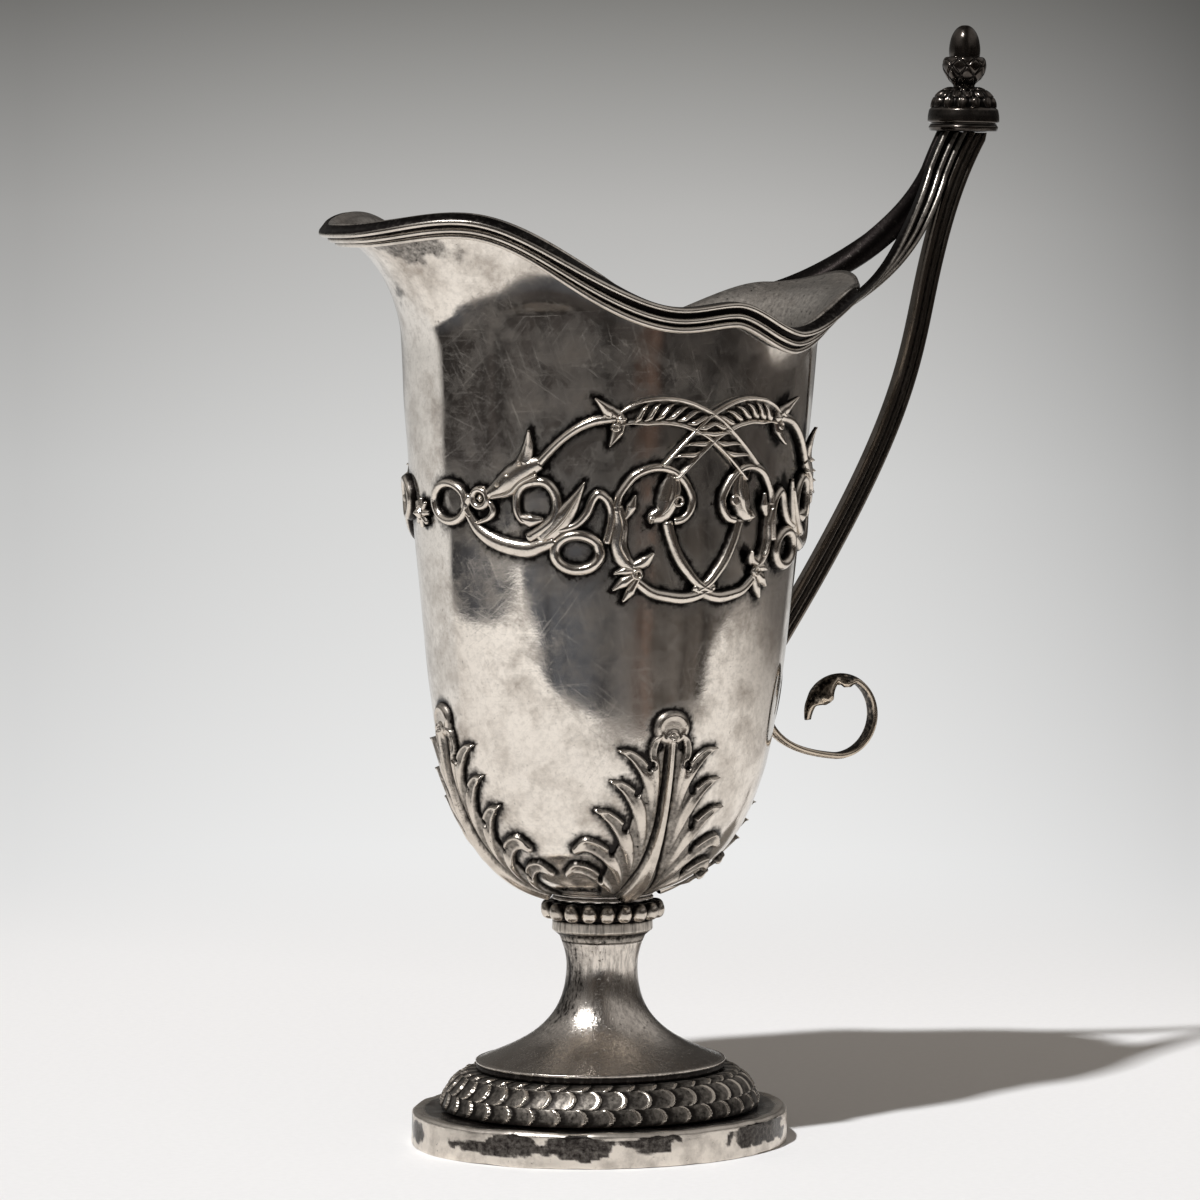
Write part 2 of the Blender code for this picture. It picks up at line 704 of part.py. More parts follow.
def build_leg():
    """A bar reeded on both sides, bent at the top and cut at its foot to sit on the escutcheon."""
    upper, lower = leg_curves()
    half = LEG_WIDTH / 2
    side = LEG_THICKNESS / 2
    deep = side - LEG_REED_DEPTH
    right = [(1.0, side), (0.5, deep), (0.0, side), (-0.5, deep), (-1.0, side)]
    section = [(half * p, y) for p, y in right] + [(half * p, -y) for p, y in reversed(right)]
    path = [cubic(upper, t) for t in shares(9)] + [cubic(lower, t) for t in shares(16)[1:]]
    rings = []
    for i, point in enumerate(path):
        heading = (path[min(i + 1, len(path) - 1)] - path[max(i - 1, 0)]).normalized()
        ahead = Vector((heading.z, 0.0, -heading.x))
        ring = [point + ahead * p + Vector((0.0, y, 0.0)) for p, y in section]
        if i == 0:
            ring = cut_level(ring, heading, HANDLE_TOP_Z)
        if min(p.x for p in ring) < escutcheon_top_x():
            break
        rings.append(ring)
    rings.append([onto_escutcheon(p, heading) for p in ring])
    add_part("handle_leg", mesh_from("handle_leg", *swept(rings)), WORN, 0.25)


def escutcheon_top_x():
    """How far back the leg's sections have to stay to be clear of the escutcheon."""
    return body_reach(ESCUTCHEON_RISE + ESCUTCHEON_HEIGHT / 2) + ESCUTCHEON_THICKNESS + LEG_WIDTH / 2


def build_escutcheon():
    """A thin oval plate bent to the bowl's back, which spreads the pull of the handle."""
    columns, rows = 7, 9
    top, bottom = [], []
    for v in shares(rows):
        rise = ESCUTCHEON_RISE + ESCUTCHEON_HEIGHT * (v - 0.5)
        half = ESCUTCHEON_WIDTH / 2 * math.sqrt(max(0.06, 1 - (2 * v - 1) ** 2))
        for q in shares(columns):
            across = half * (2 * q - 1)
            angle = 180.0 + across * degrees_per_metre(180.0, rise)
            top.append(off_wall(angle, rise, SEAT + ESCUTCHEON_THICKNESS))
            bottom.append(off_wall(angle, rise, SEAT))
    points, faces = plate(top, bottom, columns, rows)
    add_part("handle_escutcheon", mesh_from("handle_escutcheon", points, faces), DARK, 0.35)


def plate(top, bottom, columns, rows):
    """A plate between two grids of points, with its edge closed all round."""
    count = len(top)
    faces = []
    for i in range(rows - 1):
        for j in range(columns - 1):
            a, b = i * columns + j, i * columns + j + 1
            c, d = b + columns, a + columns
            faces.append((a, b, c, d))
            faces.append((a + count, d + count, c + count, b + count))
    border = [j for j in range(columns)]
    border += [i * columns + columns - 1 for i in range(1, rows)]
    border += [(rows - 1) * columns + j for j in range(columns - 2, -1, -1)]
    border += [i * columns for i in range(rows - 2, 0, -1)]
    for a, b in zip(border, border[1:] + border[:1]):
        faces.append((a, a + count, b + count, b))
    return top + bottom, faces


def build_scroll():
    """A flat strip that springs from the escutcheon, curls round and ends in an opened leaf."""
    root = escutcheon_face(SCROLL_RISE, 0.0)
    middle = root + Vector((SCROLL_STAND_OFF - SCROLL_THICKNESS, 0.0, 0.0))
    start_turn, turns = math.radians(235.0), math.radians(285.0)
    curl = []
    for share in shares(19):
        angle = start_turn + turns * share
        radius = SCROLL_RADIUS * (1 - 0.12 * share * share)
        curl.append(middle + Vector((math.cos(angle), 0.0, math.sin(angle))) * radius)
    heading = (curl[1] - curl[0]).normalized()
    lead = (curl[0] - root).length
    spring = [root, root + Vector((lead * 0.12, 0.0, -lead * 0.4)), curl[0] - heading * lead * 0.4, curl[0]]
    path = [cubic(spring, t) for t in shares(7)[:-1]] + curl
    rings = []
    for i, point in enumerate(path):
        heading = (path[min(i + 1, len(path) - 1)] - path[max(i - 1, 0)]).normalized()
        inward = Vector((-heading.z, 0.0, heading.x))
        along = i / (len(path) - 1)
        opened = max(0.0, (along - 0.72) / 0.28)
        half = SCROLL_WIDTH / 2 + (SCROLL_LEAF_WIDTH - SCROLL_WIDTH) / 2 * math.sin(math.pi * opened)
        half *= 1 - 0.55 * max(0.0, opened - 0.6) / 0.4
        thick = SCROLL_THICKNESS / 2 * (1 - 0.35 * opened)
        section = [(1.0, 0.5), (1.0, -0.5), (0.0, -1.0), (-1.0, -0.5), (-1.0, 0.5), (0.0, 1.0 - 0.9 * opened)]
        rings.append([point + inward * (thick * n) + Vector((0.0, half * y, 0.0)) for y, n in section])
    foot = [onto_escutcheon(p, Vector((-1.0, 0.0, 0.0))) for p in rings[0]]
    add_part("handle_scroll", mesh_from("handle_scroll", *swept([foot] + rings[2:])), DARK, 0.35)


def finial_middle():
    """The cap stands over the middle of the stem, which is cut level there."""
    _, down, _ = stem_station(0.02)
    return LEG_TOP_REACH - (MOULDING_WIDTH + SEAT) / 2 / -down.z


def build_finial():
    foot = HANDLE_TOP_Z + SEAT
    ring_top = foot + CAP_RING_HEIGHT
    top = foot + CAP_HEIGHT
    groove = CAP_REACH - CAP_RING_HEIGHT * 0.45
    cap = [
        (0.0, top),
        (DOME_REACH, top),
        (CAP_REACH * 0.97, top - CAP_HEIGHT * 0.1),
        (CAP_REACH, ring_top + CAP_HEIGHT * 0.12),
        (groove, ring_top),
        (CAP_REACH * 0.97, ring_top - CAP_RING_HEIGHT * 0.4),
        (CAP_REACH * 0.93, foot),
        (0.0, foot),
    ]
    pieces = [turned("cap_band", cap, DARK, 0.3, 1.0, FINIAL_STEPS)]
    foot = top + SEAT
    dome = [(0.0, foot + DOME_HEIGHT), (ACORN_NECK_REACH, foot + DOME_HEIGHT)]
    for share in shares(6)[1:]:
        angle = share * math.pi / 2
        height = (DOME_HEIGHT - ACORN_NECK_REACH * 0.15) * math.cos(angle)
        reach = ACORN_NECK_REACH + (DOME_REACH - ACORN_NECK_REACH) * math.sin(angle)
        dome.append((reach, foot + height))
    pieces.append(turned("cap_dome", dome + [(0.0, foot)], DARK, 0.35, 1.0, FINIAL_STEPS))
    foot += DOME_HEIGHT + SEAT
    top = foot + ACORN_CUP_HEIGHT
    cup = [
        (0.0, top),
        (ACORN_CUP_REACH * 0.9, top),
        (ACORN_CUP_REACH, top - ACORN_CUP_HEIGHT * 0.14),
        (ACORN_CUP_REACH * 0.97, top - ACORN_CUP_HEIGHT * 0.4),
        (ACORN_CUP_REACH * 0.8, top - ACORN_CUP_HEIGHT * 0.68),
        (ACORN_NECK_REACH, top - ACORN_CUP_HEIGHT * 0.88),
        (ACORN_NECK_REACH, foot),
        (0.0, foot),
    ]
    pieces.append(turned("acorn_cup", cup, DARK, 0.35, 1.0, FINIAL_STEPS))
    foot = top + SEAT
    nut = [(0.0, foot + ACORN_NUT_HEIGHT)]
    for share in shares(7)[1:]:
        angle = share * math.pi / 2
        height = ACORN_NUT_HEIGHT * (0.35 + 0.65 * math.cos(angle))
        nut.append((ACORN_NUT_REACH * math.sin(angle), foot + height))
    nut += [(ACORN_NUT_REACH, foot), (0.0, foot)]
    pieces.append(turned("acorn_nut", nut, DARK, 0.2, 1.0, FINIAL_STEPS))
    for piece in pieces:
        piece.location.x = finial_middle()


# The frieze. A stroke is its width as a share of the plain line's, then points in degrees from the
# panel's middle towards the spout and millimetres above the frieze's middle line.

FRIEZE_STEMS = [
    # the leafy band over the top, which crosses its twin at the panel's middle
    (2.0, [(28, 16), (20, 18), (12, 18.2), (4, 16.4), (-3, 13.3), (-9, 9.5), (-13, 6.6)]),
    # the stem from the band's joint down to the beast's head, and the joint's two spurs
    (1.0, [(26, 16.2), (34, 15.3), (41, 12.4), (46.5, 8.3), (51, 6.4)]),
    (0.9, [(28, 16), (31, 18), (33.5, 20.3)]),
    (0.9, [(27, 16.5), (28.5, 13.5), (30, 11.5)]),
    # the big loop, with its leaf curled inside
    (1.1, [(20.5, -15.5), (24, -8.5), (26, -2), (24.5, 3.5), (19, 6.8), (12.5, 6.3)]),
    (1.0, [(14, 6.6), (7, 3), (5.5, -1.5), (9, -3.6), (13.5, -2)]),
    # the lower vine, from the curled leaf past the middle to the other half's flower
    (1.0, [(13.3, -2), (12.3, -8), (8.5, -12.5), (2, -16), (-6, -18.2), (-14, -18), (-23, -13)]),
    (1.3, [(20, -17.5), (24, -13), (27.5, -10)]),
    (1.1, [(22, -14), (27, -11.5), (31, -8.5), (34, -9.5)]),
    # the arch over the lower ring, and the long leaf along the bottom
    (1.0, [(41, -5.2), (36.5, -1.5), (32.5, 1.3), (29, -0.5), (28, -4.5), (30.5, -9)]),
    (1.3, [(73, -3.2), (66, -6.5), (58, -9), (51, -9), (45, -6.8), (38, -5.3), (30.5, -8.3)]),
    # the beast's head, its ear and its curled neck
    (1.5, [(66, -0.5), (60, 4), (53, 7.3), (47.5, 6.3), (44.5, 1.5), (46, -3), (50, -8.5)]),
    (1.1, [(52.5, 6), (50.5, 10.5), (50, 15)]),
]
# A ring is (angle, height, radius) in the same units
FRIEZE_RINGS = [(39.0, -10.2, 4.3), (50.5, -0.5, 3.7), (68.0, 0.0, 2.3)]


def smooth_path(points, step):
    """Points about one step apart on the curve that runs through these ones."""
    path = []
    ends = [points[0]] + points + [points[-1]]
    for a, b, c, d in zip(ends, ends[1:], ends[2:], ends[3:]):
        count = max(1, round((c - b).length / step))
        for i in range(count):
            t = i / count
            path.append(
                b
                + (c - a) * (0.5 * t)
                + (a * 2 - b * 5 + c * 4 - d) * (0.5 * t * t)
                + (b * 3 - a - c * 3 + d) * (0.5 * t**3)
            )
    return path + [points[-1]]


def strip_on_wall(path, half, layer, closed=False):
    """A raised strip along (angle, rise) points of the bowl's wall."""
    rings = []
    count = len(path)
    for i, (angle, rise) in enumerate(path):
        if closed:
            before, after = path[i - 1], path[(i + 1) % count]
        else:
            before, after = path[max(0, i - 1)], path[min(count - 1, i + 1)]
        heading = wall_at(*after) - wall_at(*before)
        out = wall_normal(angle, rise)
        side = out.cross(heading).normalized() * half
        foot = wall_at(angle, rise) + out * (SEAT + layer)
        top = foot + out * FRIEZE_THICKNESS
        crest = [top - side * 0.5, top + side * 0.5] if half > FRIEZE_BROAD else [top]
        rings.append([foot + side, foot - side] + crest)
    return swept(rings, closed)


def panel_angle(degrees, end):
    """Angle round the bowl of a point so far from the panel's middle, on its spout or handle end."""
    towards_back = degrees * end < 0
    return FRIEZE_MIDDLE - degrees * end * (FRIEZE_BACK_SHARE if towards_back else 1.0)


def frieze_stroke(points, half, layer, end):
    rise = FRIEZE_RISE
    per_degree = 1 / degrees_per_metre(90.0, rise)
    flat = [Vector((d * per_degree, h * MM)) for d, h in points]
    path = [
        (panel_angle(p.x / per_degree, end), rise + p.y) for p in smooth_path(flat, FRIEZE_STEP)
    ]
    return strip_on_wall(path, half, layer)


def wall_circle(angle, rise, radius, count=8):
    turn = radius * degrees_per_metre(angle, rise)
    steps = [2 * math.pi * i / count for i in range(count)]
    return [(angle + turn * math.cos(a), rise + radius * math.sin(a)) for a in steps]


def build_frieze_panel(name, side):
    """One side's scrolls: a half motif drawn once, turned over for the other half, and united."""
    pieces = []
    for end in (1, -1):
        for width, points in FRIEZE_STEMS:
            layer = FRIEZE_LAYER * (len(pieces) % FRIEZE_LAYERS)
            pieces.append(frieze_stroke(points, width * FRIEZE_LINE, layer, end))
        rings = [(d, h * MM, r * MM) for d, h, r in FRIEZE_RINGS]
        rings.append((FRONT_RING_ANGLE, -FRONT_RING_DROP, FRONT_RING_RADIUS))
        for degrees, height, radius in rings:
            layer = FRIEZE_LAYER * (len(pieces) % FRIEZE_LAYERS)
            path = wall_circle(panel_angle(degrees, end), FRIEZE_RISE + height, radius)
            pieces.append(strip_on_wall(path, FRIEZE_LINE, layer, closed=True))
    pieces = [([Vector((p.x, p.y * side, p.z)) for p in points], faces) for points, faces in pieces]
    first = add_part(name, mesh_from(name, *pieces[0]), BRIGHT, 0.3)
    unite(first, add_cutter(name + "_strokes", mesh_from(name + "_strokes", *joined(pieces[1:]))))


def build_frieze_front():
    """The small boss on the bowl's front between the two panels' end rings."""
    ring = FRIEZE_MIDDLE - FRONT_RING_ANGLE
    rise = FRIEZE_RISE - FRONT_RING_DROP
    spacing = (wall_at(ring, rise) - wall_at(0.0, rise)).length
    reach = spacing - FRONT_RING_RADIUS - FRIEZE_LINE - SEAT
    top, bottom = [], []
    levels = [(1.0, 0.3), (0.75, 1.0), (0.4, 0.6)]
    for share, height in levels:
        path = wall_circle(0.0, rise, reach * share)
        top += [off_wall(a, r, SEAT + FRIEZE_THICKNESS * height) for a, r in path]
        bottom += [off_wall(a, r, SEAT) for a, r in path]
    count = len(top) // len(levels)
    points = top + bottom
    faces = []
    for i in range(len(levels) - 1):
        for j in range(count):
            k = (j + 1) % count
            here, there = i * count, (i + 1) * count
            faces.append((here + j, here + k, there + k, there + j))
            below = len(top)
            faces.append((below + here + j, below + there + j, below + there + k, below + here + k))
    for j in range(count):
        k = (j + 1) % count
        faces.append((j, len(top) + j, len(top) + k, k))
    faces.append(tuple(range(len(top) - count, len(top))))
    faces.append(tuple(range(len(points) - count, len(points))))
    add_part("frieze_front", mesh_from("frieze_front", points, faces), BRIGHT, 0.3)


# The leaves


def leaf_rows():
    """(share up the midrib, share of the half width), foot to tip: each lobe swells, then ends at once."""
    rows = [(0.0, 0.62)]
    for lobe in range(LEAF_LOBES):
        low = 0.06 + 0.66 * lobe / LEAF_LOBES
        high = 0.06 + 0.66 * (lobe + 0.85) / LEAF_LOBES
        reach = 1.0 - 0.42 * lobe / (LEAF_LOBES - 1)
        waist = 0.42 - 0.16 * lobe / (LEAF_LOBES - 1)
        rows += [(low, waist), (high, reach)]
    return rows + [(0.76, 0.2), (0.84, 0.2), (0.93, 0.23), (0.985, 0.14)]


def deepest_dip(places, columns):
    """How far the flat facets between these (angle, rise) places of the wall cut into its round."""
    dips = [0.0]
    for i in range(len(places) - columns):
        if i % columns == columns - 1:
            continue
        quad = [places[i], places[i + 1], places[i + columns + 1], places[i + columns]]
        for a, b in ((0, 1), (1, 2), (2, 3), (3, 0), (0, 2), (1, 3)):
            middle = [(quad[a][k] + quad[b][k]) / 2 for k in (0, 1)]
            chord = (wall_at(*quad[a]) + wall_at(*quad[b])) / 2
            dips.append((wall_at(*middle) - chord).dot(wall_normal(*middle)))
    return max(dips)


def build_leaf(name, angle, height):
    """A cast leaf with lobed edges and a raised midrib, bent to the round of the bowl."""
    rows = leaf_rows()
    across = [i / LEAF_COLUMNS for i in range(-LEAF_COLUMNS, LEAF_COLUMNS + 1)]
    places, thickness = [], []
    for share, width in rows:
        for q in across:
            reach = width * LEAF_WIDTH / 2 * abs(q)
            sweep = LEAF_SWEEP * reach * height / LEAF_HEIGHT * (1 - share)
            rise = LEAF_RISE + height * share * 0.9 + sweep
            places.append((angle + math.copysign(reach, q) * degrees_per_metre(angle, rise), rise))
            thickness.append(LEAF_THICKNESS * (1 - 0.5 * q * q) + LEAF_RIB * (1 - abs(q)) ** 2)
    foot = SEAT + deepest_dip(places, len(across))
    bottom = [off_wall(*place, foot) for place in places]
    top = [off_wall(*place, foot + thick) for place, thick in zip(places, thickness)]
    points, faces = plate(top, bottom, len(across), len(rows))
    add_part(name, mesh_from(name, points, faces), BRIGHT, 0.3)


clear_scene()
PARTS = new_collection("milk_jug")
CUTTERS = new_collection("cutters", hidden=True)

# The stand's empty puts the middle of the whole jug, from spout to cap, over the origin
STAND = bpy.data.objects.new("milk_jug_stand", None)
PARTS.objects.link(STAND)
STAND.location.x = (RIM_FRONT + RIM_COVER - finial_middle() - CAP_REACH) / 2

build_foot()
build_bowl()
build_rim_moulding("rim_moulding_left", 1.0)
build_rim_moulding("rim_moulding_right", -1.0)
build_leg()
build_escutcheon()
build_scroll()
build_finial()
build_frieze_panel("frieze_left", 1.0)
build_frieze_panel("frieze_right", -1.0)
build_frieze_front()
build_leaf("leaf_front", 0.0, LEAF_HEIGHT)
build_leaf("leaf_left", 90.0, LEAF_HEIGHT)
build_leaf("leaf_right", 270.0, LEAF_HEIGHT)
build_leaf("leaf_back", 180.0, BACK_LEAF_HEIGHT)
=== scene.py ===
"""The looks of an old silver milk jug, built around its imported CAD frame.

Sizes of the jug are in millimetres, those of the table, the room, the lamp and the camera in metres.
"""

import math

import bmesh
import bpy
import numpy as np
from mathutils import Matrix, Vector, kdtree, noise


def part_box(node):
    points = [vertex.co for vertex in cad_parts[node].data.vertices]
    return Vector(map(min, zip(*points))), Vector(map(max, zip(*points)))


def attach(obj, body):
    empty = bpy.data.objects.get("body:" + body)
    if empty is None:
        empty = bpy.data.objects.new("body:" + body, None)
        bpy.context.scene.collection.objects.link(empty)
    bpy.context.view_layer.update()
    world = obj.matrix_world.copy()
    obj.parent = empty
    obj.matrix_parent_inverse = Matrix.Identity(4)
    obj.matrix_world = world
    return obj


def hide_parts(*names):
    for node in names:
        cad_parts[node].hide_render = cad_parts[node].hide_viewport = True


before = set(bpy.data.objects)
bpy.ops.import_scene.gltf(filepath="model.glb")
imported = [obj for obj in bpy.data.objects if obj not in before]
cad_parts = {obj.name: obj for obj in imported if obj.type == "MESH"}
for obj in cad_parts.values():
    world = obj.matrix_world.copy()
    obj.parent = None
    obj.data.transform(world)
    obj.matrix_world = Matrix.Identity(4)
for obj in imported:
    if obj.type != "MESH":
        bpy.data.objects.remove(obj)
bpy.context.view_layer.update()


# Plinth
# The oval plate that the jug stands on, raised from thick sheet silver and open underneath. Its top is
# dished, its upper edge is filed to a narrow bevel, and its side still shows the hammer.

MM = 0.001
OVAL = 0.84  # breadth of the foot and the bowl over their length
plinth_low, plinth_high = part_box("plinth")
FOOT_X = (plinth_low[0] + plinth_high[0]) / 2 / MM
PLINTH_REACH = (plinth_high[0] - plinth_low[0]) / 2 / MM
PLINTH_TOP = plinth_high[2] / MM
PLINTH_BORE = 31.7
PLINTH_HOLLOW = 36.6  # reach of the open hollow underneath
PLINTH_UNDER = 5.4


def linear(code):
    """The linear colour of an sRGB hex code."""
    shares = [int(code[i : i + 2], 16) / 255 for i in (1, 3, 5)]
    return tuple(s / 12.92 if s <= 0.04045 else ((s + 0.055) / 1.055) ** 2.4 for s in shares) + (1.0,)


def add(tree, kind, feeds=(), **settings):
    """A node with its settings; each feed names a socket and the value or the socket that goes into it."""
    made = tree.nodes.new(kind)
    for key, value in settings.items():
        setattr(made, key, value)
    for socket, value in dict(feeds).items():
        if isinstance(value, bpy.types.NodeSocket):
            tree.links.new(value, made.inputs[socket])
        else:
            made.inputs[socket].default_value = value
    return made


def antique_silver(
    name,
    bright,
    film,
    tarnish,
    polish,
    dull,
    stain=0.5,
    patch=9.0,
    ragged=0.7,
    grain=(1, 1, 1),
    cut=20.0,
    filed=0.0,
    haze=0.08,
    speckle=0.1,
    scratched=0.0,
):
    """Silver with a worn shine on its crests, a brown-grey film in clouds and black dirt in its hollows.

    Polish and dull are the roughness of the bare silver and of the film, a patch is a cloud's size in mm,
    and a lower ragged gives clouds a harder edge. The grain is the size of the file marks along x, y and
    z in mm, drawn coarser than real ones, the cut is their depth in thousandths of a mm, filed is how dark
    the dirt in them is, haze is how much the film scatters light, and speckle is how ragged the dirt is.
    Scratched is how far fine scratches dull the shine. Scratches are drawn 0.2 mm wide and pits 0.9 mm,
    wider than real ones.
    """
    material = bpy.data.materials.new(name)
    material.use_nodes = True
    tree = material.node_tree
    place = add(tree, "ShaderNodeTexCoord").outputs["Object"]
    # clouds of film, black pits and ragged dirt
    clouds = add(
        tree,
        "ShaderNodeTexNoise",
        {"Vector": place, "Scale": 1 / (patch * MM), "Detail": 9.0, "Roughness": 0.66},
    )
    cloud = add(
        tree,
        "ShaderNodeMapRange",
        {"Value": clouds.outputs[0], "From Min": 0.44, "From Max": ragged, "To Max": stain},
    )
    # the stored wear darkens the silver where it is low; on some pieces it holds painted shade as well as
    # real wear
    worn = add(tree, "ShaderNodeAttribute", attribute_name="wear")
    pits = add(
        tree,
        "ShaderNodeTexNoise",
        {"Vector": place, "Scale": 1 / (0.9 * MM), "Detail": 4.0, "Roughness": 0.65},
    )
    pit = add(
        tree,
        "ShaderNodeMapRange",
        {"Value": pits.outputs[0], "From Min": 0.64, "From Max": 0.74, "To Max": 0.5},
    )
    uneven = add(
        tree,
        "ShaderNodeMapRange",
        {
            "Value": pits.outputs[0],
            "From Min": 0.3,
            "From Max": 0.7,
            "To Min": speckle,
            "To Max": -speckle,
        },
    )
    worn = add(tree, "ShaderNodeMath", {0: worn.outputs["Fac"], 1: uneven.outputs[0]}, operation="ADD")
    hollow = add(
        tree,
        "ShaderNodeMapRange",
        {"Value": worn.outputs[0], "From Min": 0.05, "From Max": 0.75, "To Min": 1.0, "To Max": 0.0},
        interpolation_type="SMOOTHSTEP",
    )
    # file marks, which hold dirt and catch the light
    along = add(tree, "ShaderNodeMapping", {"Vector": place, "Scale": [1 / (size * MM) for size in grain]})
    marks = add(
        tree,
        "ShaderNodeTexNoise",
        {"Vector": along.outputs[0], "Scale": 1.0, "Detail": 4.0, "Roughness": 0.7},
    )
    groove = add(
        tree,
        "ShaderNodeMapRange",
        {"Value": marks.outputs[0], "From Min": 0.36, "From Max": 0.54, "To Min": filed, "To Max": 0.0},
    )
    dirt = add(tree, "ShaderNodeMath", {0: hollow.outputs[0], 1: pit.outputs[0]}, operation="ADD")
    dirt = add(
        tree,
        "ShaderNodeMath",
        {0: dirt.outputs[0], 1: groove.outputs[0]},
        operation="ADD",
        use_clamp=True,
    )
    # a Mix of colours takes them at its inputs 6 and 7 and gives them at its output 2
    filmed = add(
        tree, "ShaderNodeMix", {0: cloud.outputs[0], 6: linear(bright), 7: linear(film)}, data_type="RGBA"
    )
    colour = add(
        tree,
        "ShaderNodeMix",
        {0: dirt.outputs[0], 6: filmed.outputs[2], 7: linear(tarnish)},
        data_type="RGBA",
    )
    matt = add(
        tree, "ShaderNodeMath", {0: cloud.outputs[0], 1: dirt.outputs[0]}, operation="ADD", use_clamp=True
    )
    # scratches lean in several directions, as a polishing cloth leaves them
    for lean in (0.5, -0.9, 1.5, -0.3) if scratched else ():
        turned_place = add(
            tree,
            "ShaderNodeMapping",
            {"Vector": place, "Rotation": (0.0, lean, 0.0), "Scale": (0.2 * MM, 10 * MM, 10 * MM)},
            vector_type="TEXTURE",
        )
        lines = add(
            tree, "ShaderNodeTexNoise", {"Vector": turned_place.outputs[0], "Scale": 1.0, "Detail": 1.0}
        )
        line = add(
            tree,
            "ShaderNodeMapRange",
            {"Value": lines.outputs[0], "From Min": 0.62, "From Max": 0.74, "To Max": scratched},
        )
        matt = add(
            tree,
            "ShaderNodeMath",
            {0: matt.outputs[0], 1: line.outputs[0]},
            operation="ADD",
            use_clamp=True,
        )
    sheen = add(tree, "ShaderNodeMapRange", {"Value": matt.outputs[0], "To Min": polish, "To Max": dull})
    pitted = add(
        tree,
        "ShaderNodeMath",
        {0: pit.outputs[0], 1: -0.8, 2: marks.outputs[0]},
        operation="MULTIPLY_ADD",
    )
    relief = add(
        tree,
        "ShaderNodeBump",
        {"Height": pitted.outputs[0], "Strength": 1.0, "Distance": cut * 0.001 * MM},
    )
    shader = tree.nodes["Principled BSDF"]
    # the film scatters light as thin paint does, bare silver doesn't
    bare = add(tree, "ShaderNodeMapRange", {"Value": matt.outputs[0], "To Min": 1.0, "To Max": 1.0 - haze})
    tree.links.new(bare.outputs[0], shader.inputs["Metallic"])
    tree.links.new(colour.outputs[2], shader.inputs["Base Color"])
    tree.links.new(sheen.outputs[0], shader.inputs["Roughness"])
    tree.links.new(relief.outputs[0], shader.inputs["Normal"])
    return material


def sheet(grid, wear=1.0, around=True, across=False):
    """Corners, faces and wear of a surface over rows and columns of points, closed around or across."""
    rows, columns = grid.shape[:2]
    place = np.arange(rows * columns).reshape(rows, columns)
    if around:
        place = np.hstack([place, place[:, :1]])
    if across:
        place = np.vstack([place, place[:1]])
    faces = np.stack([place[:-1, :-1], place[:-1, 1:], place[1:, 1:], place[1:, :-1]], axis=-1)
    return grid.reshape(-1, 3), faces.reshape(-1, 4), np.broadcast_to(wear, (rows, columns)).ravel()


def make(name, sheets, material):
    """A piece of the jug made of these surfaces, smooth and with its wear stored on its corners, which on
    some pieces holds painted shade as well.
    """
    starts = np.cumsum([0] + [len(points) for points, _, _ in sheets])
    corners = np.concatenate([points for points, _, _ in sheets]) * MM
    faces = np.concatenate([quads + start for (_, quads, _), start in zip(sheets, starts)])
    mesh = bpy.data.meshes.new(name)
    mesh.from_pydata(corners.tolist(), [], faces.tolist())
    shape = bmesh.new()
    shape.from_mesh(mesh)
    bmesh.ops.recalc_face_normals(shape, faces=shape.faces)
    shape.to_mesh(mesh)
    shape.free()
    wear = np.concatenate([values for _, _, values in sheets]).astype(np.float32)
    mesh.attributes.new("wear", "FLOAT", "POINT").data.foreach_set("value", wear)
    mesh.shade_smooth()
    mesh.materials.append(material)
    piece = bpy.data.objects.new(name, mesh)
    bpy.context.scene.collection.objects.link(piece)
    return piece


def rounded(corners, radius, step=0.8):
    """A closed outline with its corners rounded over this length of their sides, in short steps."""
    corners = [np.array(corner, float) for corner in corners]
    path = []
    for i, corner in enumerate(corners):
        sides = [corners[i - 1] - corner, corners[(i + 1) % len(corners)] - corner]
        start, end = [corner + side * min(0.48, radius / np.linalg.norm(side)) for side in sides]
        path += [start * (1 - t) ** 2 + corner * 2 * t * (1 - t) + end * t * t for t in np.linspace(0, 1, 6)]
    fine = []
    for a, b in zip(path, path[1:] + path[:1]):
        count = max(1, math.ceil(np.linalg.norm(b - a) / step))
        fine += [a + (b - a) * i / count for i in range(count)]
    return np.array(fine)


def turned(profile, columns=240, oval=OVAL, middle=FOOT_X):
    """Points of a profile of (reach, height) turned round an upright axis and drawn to an oval."""
    turn = np.linspace(0, 2 * np.pi, columns, endpoint=False)
    reach, height = np.asarray(profile, float).T[..., None]
    return np.stack(
        np.broadcast_arrays(middle + reach * np.cos(turn), oval * reach * np.sin(turn), height), axis=-1
    )


def beaten(grid, size, depth):
    """The same points moved in and out by soft dents of this size and depth."""
    along = np.roll(grid, -1, 1) - np.roll(grid, 1, 1)
    out = np.cross(along, np.roll(grid, -1, 0) - np.roll(grid, 1, 0))
    out /= np.maximum(np.linalg.norm(out, axis=-1, keepdims=True), 1e-9)
    push = [noise.noise(Vector(point) / size) for point in grid.reshape(-1, 3)]
    return grid + out * np.array(push).reshape(grid.shape[:2] + (1,)) * depth


